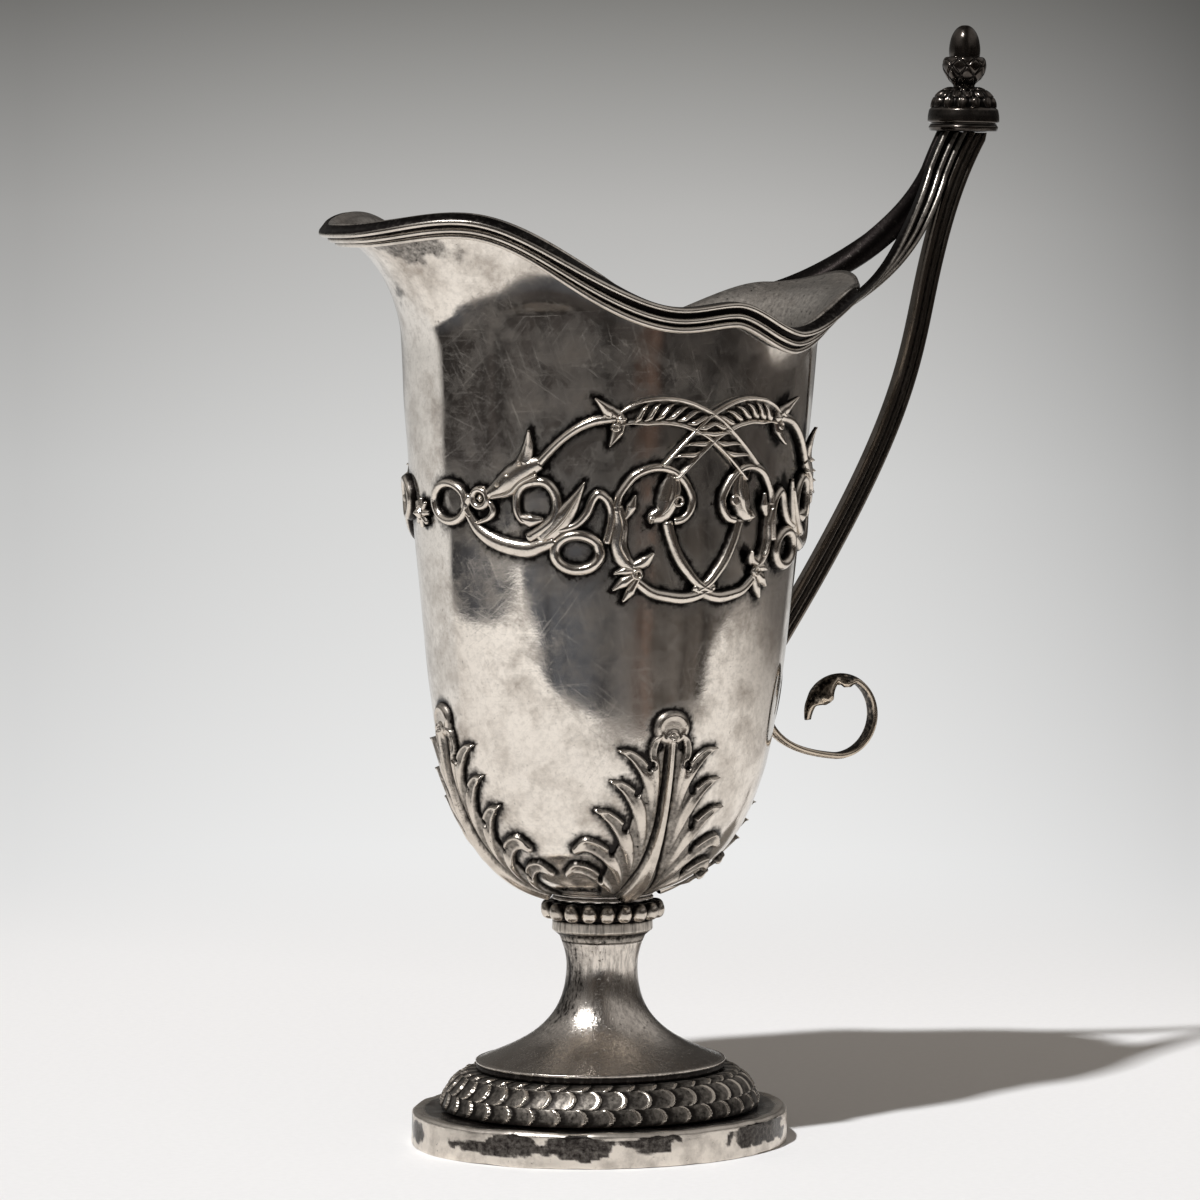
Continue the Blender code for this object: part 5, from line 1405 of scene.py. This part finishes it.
# nearly black with age, with a small sharp gleam on its edges
finial_silver = antique_silver(
    "blackened_acorn_silver",
    bright="#5c5651",
    film="#292522",
    tarnish="#0e0c0b",
    polish=0.13,
    dull=0.34,
    stain=0.6,
    patch=4.0,
    grain=(0.8, 0.8, 0.8),
    cut=12.0,
)
cap_band = make(
    "cap_band_skin",
    [sheet(turned(cap_profile, 140, oval=1.0, middle=FINIAL_X), cap_wear[:, None], across=True)],
    finial_silver,
)
FINIAL_COLUMNS = 180
finial_turn = np.linspace(0, 2 * np.pi, FINIAL_COLUMNS, endpoint=False)
dome_share = np.linspace(0, 1, 44)[:, None]
dome_turn = dome_share[:, 0] * math.pi / 2
dome_line = [(2.1 + 4.6 * math.cos(turn), 209.3 + 4.2 * math.sin(turn)) for turn in dome_turn]
dome_points = turned(dome_line, FINIAL_COLUMNS, oval=1.0, middle=FINIAL_X)
# three rows of small leaves, each with a vein, cut deep between them
DOME_ROWS = 3
DOME_LEAVES = 13
dome_row = (dome_share * DOME_ROWS) % 1.0
dome_place = finial_turn * DOME_LEAVES / (2 * np.pi) + 0.5 * np.floor(dome_share * DOME_ROWS)
dome_place = dome_place % 1.0 - 0.5
dome_half = 0.12 + 0.36 * np.sqrt(1 - dome_row**2) * (0.4 + dome_row)
dome_leaf = np.clip(1.1 - (np.abs(dome_place) / dome_half) ** 2, 0, 1)
dome_leaf = dome_leaf * (1 - 0.5 * np.exp(-((dome_place / 0.06) ** 2))) * np.clip(8 * (1 - dome_share), 0, 1)
dome_points[..., :2] += (dome_points[..., :2] - (FINIAL_X, 0)) * (0.11 * (dome_leaf - 0.7))[..., None]
dome_points[..., 2] += 0.5 * (dome_leaf - 0.7) * dome_share
cap_dome = make("cap_dome_skin", [sheet(dome_points, 0.1 + 0.8 * dome_leaf)], finial_silver)
cup_line = smooth_path(
    [(2.2, 213.3), (2.3, 214.0), (3.5, 215.2), (4.35, 216.9), (4.45, 218.5), (4.0, 219.5), (3.2, 219.7)],
    8,
)
cup_points = turned(cup_line, FINIAL_COLUMNS, oval=1.0, middle=FINIAL_X)
cup_rise = np.linspace(0, 1, len(cup_line))[:, None]
cup_right = np.abs(np.sin(finial_turn * 4 + cup_rise * 8))
cup_left = np.abs(np.sin(finial_turn * 4 - cup_rise * 8))
cup_cut = np.minimum(cup_right, cup_left)
cup_cut = np.where(cup_rise < 0.86, np.clip(cup_cut * 2.6, 0, 1) ** 0.7, 1.0)
cup_points[..., :2] += (cup_points[..., :2] - (FINIAL_X, 0)) * (0.1 * (cup_cut - 0.9))[..., None]
acorn_cup = make("acorn_cup_skin", [sheet(cup_points, np.clip(0.05 + 0.6 * cup_cut, 0.05, 1))], finial_silver)
nut_line = smooth_path(
    [
        (3.1, 219.4), (3.22, 220.6), (3.15, 222.0), (2.75, 223.8), (1.9, 225.3), (0.9, 226.05),
        (0.05, 226.2),
    ],
    6,
)
acorn_nut = make(
    "acorn_nut_skin", [sheet(turned(nut_line, 90, oval=1.0, middle=FINIAL_X), 0.55)], finial_silver
)
for piece, node in (
    (cap_band, "cap_band"), (cap_dome, "cap_dome"), (acorn_cup, "acorn_cup"), (acorn_nut, "acorn_nut")
):
    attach(piece, "root")
    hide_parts(node)


# Table, room and lamp
# A sheet of white paper on a table in a darker room, with pale daylight behind it and a small lamp high
# on the spout's side. Only the paper near the jug is white in the silver; the room in front is dark.

CAMERA_TURN = math.radians(27.0)
CAMERA_AWAY = 1.052
CAMERA_HIGH = 0.186
camera_place = Vector((-math.sin(CAMERA_TURN), -math.cos(CAMERA_TURN), 0.0)) * CAMERA_AWAY
camera_place += Vector((FOOT_X * MM, 0.0, CAMERA_HIGH))
camera_right = Vector((math.cos(CAMERA_TURN), -math.sin(CAMERA_TURN), 0.0))
# painted light: greys that the paper's long sweep glows with, darker far off and upwards as light falls off,
# by how steeply a line from one fixed stand in front of the jug meets it
SWEEP_PAINTED_LIGHT = [(-0.042, "#7f7e7b"), (0.0, "#b8b7b5"), (0.05, "#d7d7d6"), (0.19, "#ffffff")]


def painted_sweep_light(tree, steepness, aside):
    """The painted light of the paper's sweep, its grey at this steepness, which is below zero upwards, this
    far to the right.
    """
    share = add(
        tree,
        "ShaderNodeMapRange",
        {"Value": steepness, "From Min": SWEEP_PAINTED_LIGHT[0][0], "From Max": SWEEP_PAINTED_LIGHT[-1][0]},
    )
    ramp = add(tree, "ShaderNodeValToRGB", {0: share.outputs[0]})
    stops = ramp.color_ramp.elements
    for place, _ in SWEEP_PAINTED_LIGHT[1:-1]:
        stops.new((place - SWEEP_PAINTED_LIGHT[0][0]) / (SWEEP_PAINTED_LIGHT[-1][0] - SWEEP_PAINTED_LIGHT[0][0]))
    for stop, (_, grey) in zip(stops, SWEEP_PAINTED_LIGHT):
        stop.color = linear(grey)
    # painted shade: it falls off to both sides, more to the right and more high up
    shade = 1.0
    for edge, top, foot in ((0.11, 0.5, 0.17), (-0.11, 0.25, 0.11)):
        depth = add(
            tree,
            "ShaderNodeMapRange",
            {"Value": steepness, "From Min": -0.003, "From Max": 0.13, "To Min": top, "To Max": foot},
        )
        side = add(tree, "ShaderNodeMapRange", {"Value": aside, "From Min": 0.1 * edge, "From Max": edge})
        side = add(tree, "ShaderNodeMath", {0: side.outputs[0], 1: 2.0}, operation="POWER")
        side = add(tree, "ShaderNodeMath", {0: side.outputs[0], 1: depth.outputs[0]}, operation="MULTIPLY")
        shade = add(tree, "ShaderNodeMath", {0: shade, 1: side.outputs[0]}, operation="SUBTRACT").outputs[0]
    return add(
        tree, "ShaderNodeVectorMath", {0: ramp.outputs[0], "Scale": shade}, operation="SCALE"
    ).outputs[0]


table_mesh = bpy.data.meshes.new("table")
table_mesh.from_pydata([(-2, -2, 0), (2, -2, 0), (2, 3, 0), (-2, 3, 0)], [], [(0, 1, 2, 3)])
table = bpy.data.objects.new("table", table_mesh)
bpy.context.scene.collection.objects.link(table)
# matt white paper, a little uneven with its fibres, which are drawn 1.5 mm wide, wider than real ones
paper = bpy.data.materials.new("white_paper")
paper.use_nodes = True
tree = paper.node_tree
place = add(tree, "ShaderNodeTexCoord").outputs["Object"]
split = add(tree, "ShaderNodeSeparateXYZ", {0: place})
fibre = add(tree, "ShaderNodeTexNoise", {"Vector": place, "Scale": 1 / (1.5 * MM), "Detail": 4.0})
grain = add(
    tree,
    "ShaderNodeMapRange",
    {"Value": fibre.outputs[0], "From Min": 0.3, "From Max": 0.7, "To Min": 0.97},
)
# in the silver the paper ends in front and at both sides, and the dark table and floor begin
front = add(tree, "ShaderNodeVectorMath", {0: place, 1: (0.08, 1.0, 0.0)}, operation="DOT_PRODUCT")
front = add(
    tree, "ShaderNodeMapRange", {"Value": front.outputs["Value"], "From Min": -0.268, "From Max": -0.256}
)
right = add(tree, "ShaderNodeVectorMath", {0: place, 1: (-0.36, 1.0, 0.0)}, operation="DOT_PRODUCT")
right = add(
    tree, "ShaderNodeMapRange", {"Value": right.outputs["Value"], "From Min": -0.43, "From Max": -0.4}
)
left = add(tree, "ShaderNodeMapRange", {"Value": split.outputs["X"], "From Min": -0.475, "From Max": -0.455})
board = add(tree, "ShaderNodeMath", {0: front.outputs[0], 1: left.outputs[0]}, operation="MULTIPLY")
board = add(tree, "ShaderNodeMath", {0: board.outputs[0], 1: right.outputs[0]}, operation="MULTIPLY")
shaded = add(
    tree,
    "ShaderNodeMapRange",
    {"Value": split.outputs["X"], "From Min": 0.35, "From Max": 0.65, "To Min": 1.0, "To Max": 0.15},
)
board = add(tree, "ShaderNodeMath", {0: board.outputs[0], 1: shaded.outputs[0]}, operation="MULTIPLY")
flat = add(tree, "ShaderNodeVectorMath", {0: place}, operation="NORMALIZE")
bearing = add(tree, "ShaderNodeSeparateXYZ", {0: flat.outputs[0]})
daylit = add(
    tree,
    "ShaderNodeMapRange",
    {"Value": bearing.outputs["Y"], "From Min": 0.48, "From Max": 0.58, "To Max": 0.75},
)
leftwards = add(
    tree,
    "ShaderNodeMapRange",
    {"Value": bearing.outputs["X"], "From Min": -0.1, "From Max": 0.4, "To Min": 1.0, "To Max": 0.25},
)
daylit = add(tree, "ShaderNodeMath", {0: daylit.outputs[0], 1: leftwards.outputs[0]}, operation="MULTIPLY")
board = add(tree, "ShaderNodeMath", {0: board.outputs[0], 1: daylit.outputs[0]}, operation="MAXIMUM")
# the floor darkens with its distance and has uneven streaks, one of them of red-brown wood
away = add(tree, "ShaderNodeVectorMath", {0: place, 1: (FOOT_X * MM, 0.0, 0.0)}, operation="DISTANCE")
deep = add(tree, "ShaderNodeMapRange", {"Value": away.outputs["Value"], "From Min": 0.35, "From Max": 0.8})
warm = add(tree, "ShaderNodeMapRange", {"Value": bearing.outputs["X"], "From Min": -0.5, "From Max": 0.2})
near = add(
    tree,
    "ShaderNodeMix",
    {0: warm.outputs[0], 6: linear("#4a4e55"), 7: linear("#57524e")},
    data_type="RGBA",
)
floor = add(
    tree,
    "ShaderNodeMix",
    {0: deep.outputs[0], 6: near.outputs[2], 7: linear("#2e2b2a")},
    data_type="RGBA",
)
wood = add(
    tree, "ShaderNodeVectorMath", {0: flat.outputs[0], 1: (0.09, -0.996, 0.0)}, operation="DOT_PRODUCT"
)
wood = add(
    tree,
    "ShaderNodeMapRange",
    {"Value": wood.outputs["Value"], "From Min": 0.993, "From Max": 0.999, "To Max": 0.4},
)
floor = add(
    tree,
    "ShaderNodeMix",
    {0: wood.outputs[0], 6: floor.outputs[2], 7: linear("#6f5548")},
    data_type="RGBA",
)
streaks = add(
    tree,
    "ShaderNodeTexNoise",
    {"Vector": flat.outputs[0], "Scale": 6.0, "Detail": 5.0, "Roughness": 0.62},
)
streak = add(
    tree,
    "ShaderNodeMapRange",
    {"Value": streaks.outputs[0], "From Min": 0.33, "From Max": 0.67, "To Min": 0.45, "To Max": 1.5},
)
paler = add(
    tree,
    "ShaderNodeMapRange",
    {"Value": bearing.outputs["X"], "From Min": 0.6, "From Max": 0.95, "To Min": 1.0, "To Max": 2.2},
)
streak = add(tree, "ShaderNodeMath", {0: streak.outputs[0], 1: paler.outputs[0]}, operation="MULTIPLY")
floor = add(
    tree, "ShaderNodeVectorMath", {0: floor.outputs[2], "Scale": streak.outputs[0]}, operation="SCALE"
)
mirrored = add(
    tree,
    "ShaderNodeMix",
    {0: board.outputs[0], 6: floor.outputs[0], 7: linear("#f1f0ef")},
    data_type="RGBA",
)
light_path = add(tree, "ShaderNodeLightPath")
shown = add(
    tree,
    "ShaderNodeMix",
    {0: light_path.outputs["Is Glossy Ray"], 6: linear("#f0f0f1"), 7: mirrored.outputs[2]},
    data_type="RGBA",
)
# painted light: the paper's colour is made greyer towards the lamp and paler away from it, a gradient laid
# over the lamp's own light
painted_light_tilt = add(tree, "ShaderNodeVectorMath", {0: place, 1: (0.84, 0.53, 0.0)}, operation="DOT_PRODUCT")
painted_light_tilt = add(
    tree,
    "ShaderNodeMapRange",
    {"Value": painted_light_tilt.outputs["Value"], "From Min": -0.2, "From Max": 0.15, "To Min": 0.89, "To Max": 1.1},
)
painted_light_tilt = add(tree, "ShaderNodeMath", {0: painted_light_tilt.outputs[0], 1: grain.outputs[0]}, operation="MULTIPLY")
toned = add(tree, "ShaderNodeVectorMath", {0: shown.outputs[2], "Scale": painted_light_tilt.outputs[0]}, operation="SCALE")
shader = tree.nodes["Principled BSDF"]
shader.inputs["Roughness"].default_value = 0.9
shader.inputs["Specular IOR Level"].default_value = 0.1
tree.links.new(toned.outputs[0], shader.inputs["Base Color"])
# far from the jug a camera sees the sweep's painted light, a glowing grey that stands in for the lit paper
# without the lamp's falling off, and behind the jug the silver mirrors it too
stand = add(
    tree,
    "ShaderNodeVectorMath",
    {0: place, 1: (camera_place.x, camera_place.y, 0.0)},
    operation="DISTANCE",
)
steepness = add(tree, "ShaderNodeMath", {0: CAMERA_HIGH, 1: stand.outputs["Value"]}, operation="DIVIDE")
seen = add(tree, "ShaderNodeVectorMath", {0: place, 1: camera_place}, operation="SUBTRACT")
seen = add(tree, "ShaderNodeVectorMath", {0: seen.outputs[0]}, operation="NORMALIZE")
aside = add(tree, "ShaderNodeVectorMath", {0: seen.outputs[0], 1: camera_right}, operation="DOT_PRODUCT")
grey = add(
    tree, "ShaderNodeEmission", {"Color": painted_sweep_light(tree, steepness.outputs[0], aside.outputs["Value"])}
)
far = add(
    tree,
    "ShaderNodeMapRange",
    {"Value": away.outputs["Value"], "From Min": 0.17, "From Max": 0.5},
    interpolation_type="SMOOTHSTEP",
)
behind = add(tree, "ShaderNodeMapRange", {"Value": bearing.outputs["Y"], "From Min": 0.48, "From Max": 0.58})
mirror = add(
    tree,
    "ShaderNodeMath",
    {0: light_path.outputs["Is Glossy Ray"], 1: behind.outputs[0]},
    operation="MULTIPLY",
)
direct = add(
    tree,
    "ShaderNodeMath",
    {0: light_path.outputs["Is Camera Ray"], 1: light_path.outputs["Is Transmission Ray"]},
    operation="MAXIMUM",
)
direct = add(tree, "ShaderNodeMath", {0: direct.outputs[0], 1: mirror.outputs[0]}, operation="MAXIMUM")
far = add(tree, "ShaderNodeMath", {0: far.outputs[0], 1: direct.outputs[0]}, operation="MULTIPLY")
surface = add(tree, "ShaderNodeMixShader", {0: far.outputs[0], 1: shader.outputs[0], 2: grey.outputs[0]})
tree.links.new(surface.outputs[0], tree.nodes["Material Output"].inputs["Surface"])
table_mesh.materials.append(paper)

# the room: the paper's sweep goes on behind the jug, and dim upright things stand on the other sides
world = bpy.data.worlds.new("pale_room")
bpy.context.scene.world = world
world.use_nodes = True
tree = world.node_tree
looking = add(tree, "ShaderNodeTexCoord").outputs["Generated"]
split = add(tree, "ShaderNodeSeparateXYZ", {0: looking})
level = add(tree, "ShaderNodeVectorMath", {0: looking, 1: (1.0, 1.0, 0.0)}, operation="MULTIPLY")
level = add(tree, "ShaderNodeVectorMath", {0: level.outputs[0]}, operation="LENGTH")
down = add(tree, "ShaderNodeMath", {0: split.outputs["Z"], 1: -1.0}, operation="MULTIPLY")
steepness = add(tree, "ShaderNodeMath", {0: down.outputs[0], 1: level.outputs["Value"]}, operation="DIVIDE")
aside = add(tree, "ShaderNodeVectorMath", {0: looking, 1: camera_right}, operation="DOT_PRODUCT")
# painted light: the camera sees the sweep's glowing greys round the jug as the backdrop
backdrop = painted_sweep_light(tree, steepness.outputs[0], aside.outputs["Value"])
behind = add(tree, "ShaderNodeMapRange", {"Value": split.outputs["Y"], "From Min": 0.2, "From Max": 0.5})
low = add(
    tree,
    "ShaderNodeMapRange",
    {"Value": split.outputs["Z"], "From Min": 0.1, "From Max": 0.62, "To Min": 1.0, "To Max": 0.15},
)
leftwards = add(
    tree,
    "ShaderNodeMapRange",
    {"Value": split.outputs["X"], "From Min": -0.2, "From Max": 0.6, "To Min": 1.0, "To Max": 0.35},
)
pale = add(tree, "ShaderNodeMath", {0: behind.outputs[0], 1: low.outputs[0]}, operation="MULTIPLY")
pale = add(tree, "ShaderNodeMath", {0: pale.outputs[0], 1: leftwards.outputs[0]}, operation="MULTIPLY")
# pale walls high on both sides of the camera, which the foot's flanks mirror
beside = add(tree, "ShaderNodeMath", {0: aside.outputs["Value"]}, operation="ABSOLUTE")
beside = add(
    tree,
    "ShaderNodeMapRange",
    {"Value": beside.outputs[0], "From Min": 0.3, "From Max": 0.6, "To Max": 0.7},
)
high = add(tree, "ShaderNodeMapRange", {"Value": split.outputs["Z"], "From Min": 0.2, "From Max": 0.45})
walls = add(tree, "ShaderNodeMath", {0: beside.outputs[0], 1: high.outputs[0]}, operation="MULTIPLY")
upright = add(tree, "ShaderNodeMapping", {"Vector": looking, "Scale": (4.0, 4.0, 0.7)})
things = add(
    tree,
    "ShaderNodeTexNoise",
    {"Vector": upright.outputs[0], "Scale": 1.0, "Detail": 4.0, "Roughness": 0.6},
)
thing = add(tree, "ShaderNodeMapRange", {"Value": things.outputs["Fac"], "From Min": 0.38, "From Max": 0.66})
dim = add(
    tree,
    "ShaderNodeMix",
    {0: thing.outputs[0], 6: linear("#191716"), 7: linear("#5c5651")},
    data_type="RGBA",
)
room = add(
    tree,
    "ShaderNodeMix",
    {0: walls.outputs[0], 6: dim.outputs[2], 7: linear("#cbc8c5")},
    data_type="RGBA",
)
light_path = add(tree, "ShaderNodeLightPath")
fill = add(
    tree,
    "ShaderNodeMix",
    {0: light_path.outputs["Is Diffuse Ray"], 6: room.outputs[2], 7: linear("#7b756e")},
    data_type="RGBA",
)
mirror = add(
    tree,
    "ShaderNodeMath",
    {0: light_path.outputs["Is Glossy Ray"], 1: pale.outputs[0]},
    operation="MULTIPLY",
)
direct = add(
    tree,
    "ShaderNodeMath",
    {0: light_path.outputs["Is Camera Ray"], 1: light_path.outputs["Is Transmission Ray"]},
    operation="MAXIMUM",
)
direct = add(tree, "ShaderNodeMath", {0: direct.outputs[0], 1: mirror.outputs[0]}, operation="MAXIMUM")
shown = add(tree, "ShaderNodeMix", {0: direct.outputs[0], 6: fill.outputs[2], 7: backdrop}, data_type="RGBA")
tree.links.new(shown.outputs[2], tree.nodes["Background"].inputs["Color"])

lamp_data = bpy.data.lights.new("studio_lamp", "AREA")
lamp_data.energy = 48.0
lamp_data.size = 0.082
lamp = bpy.data.objects.new("studio_lamp", lamp_data)
bpy.context.scene.collection.objects.link(lamp)
lamp_bearing = Vector((-0.467, -0.296, 0.834))
LAMP_AWAY = 2.2
lamp.location = Vector((FOOT_X * MM, 0.0, 0.0)) + lamp_bearing * LAMP_AWAY
lamp.rotation_euler = (Vector((FOOT_X * MM, 0, 0.08)) - lamp.location).to_track_quat("-Z", "Y").to_euler()


# Camera
# A long lens a metre away, 27 degrees round to the spout's side and a little under the jug's top, which
# looks down slightly and leans a little to one side, as in the photograph.

CAMERA_LEAN = math.radians(0.7)
camera_target = Vector((FOOT_X * MM, 0.0, 0.1093)) - camera_right * 0.0013
camera_data = bpy.data.cameras.new("camera")
camera_data.lens = 157.8
camera_data.sensor_width = 36.0
camera_data.clip_start = 0.05
camera = bpy.data.objects.new("camera", camera_data)
bpy.context.scene.collection.objects.link(camera)
look = (camera_target - camera_place).to_track_quat("-Z", "Y").to_matrix().to_4x4()
camera.matrix_world = Matrix.Translation(camera_place) @ look @ Matrix.Rotation(CAMERA_LEAN, 4, "Z")
bpy.context.scene.camera = camera
bpy.context.scene.view_settings.view_transform = "Standard"
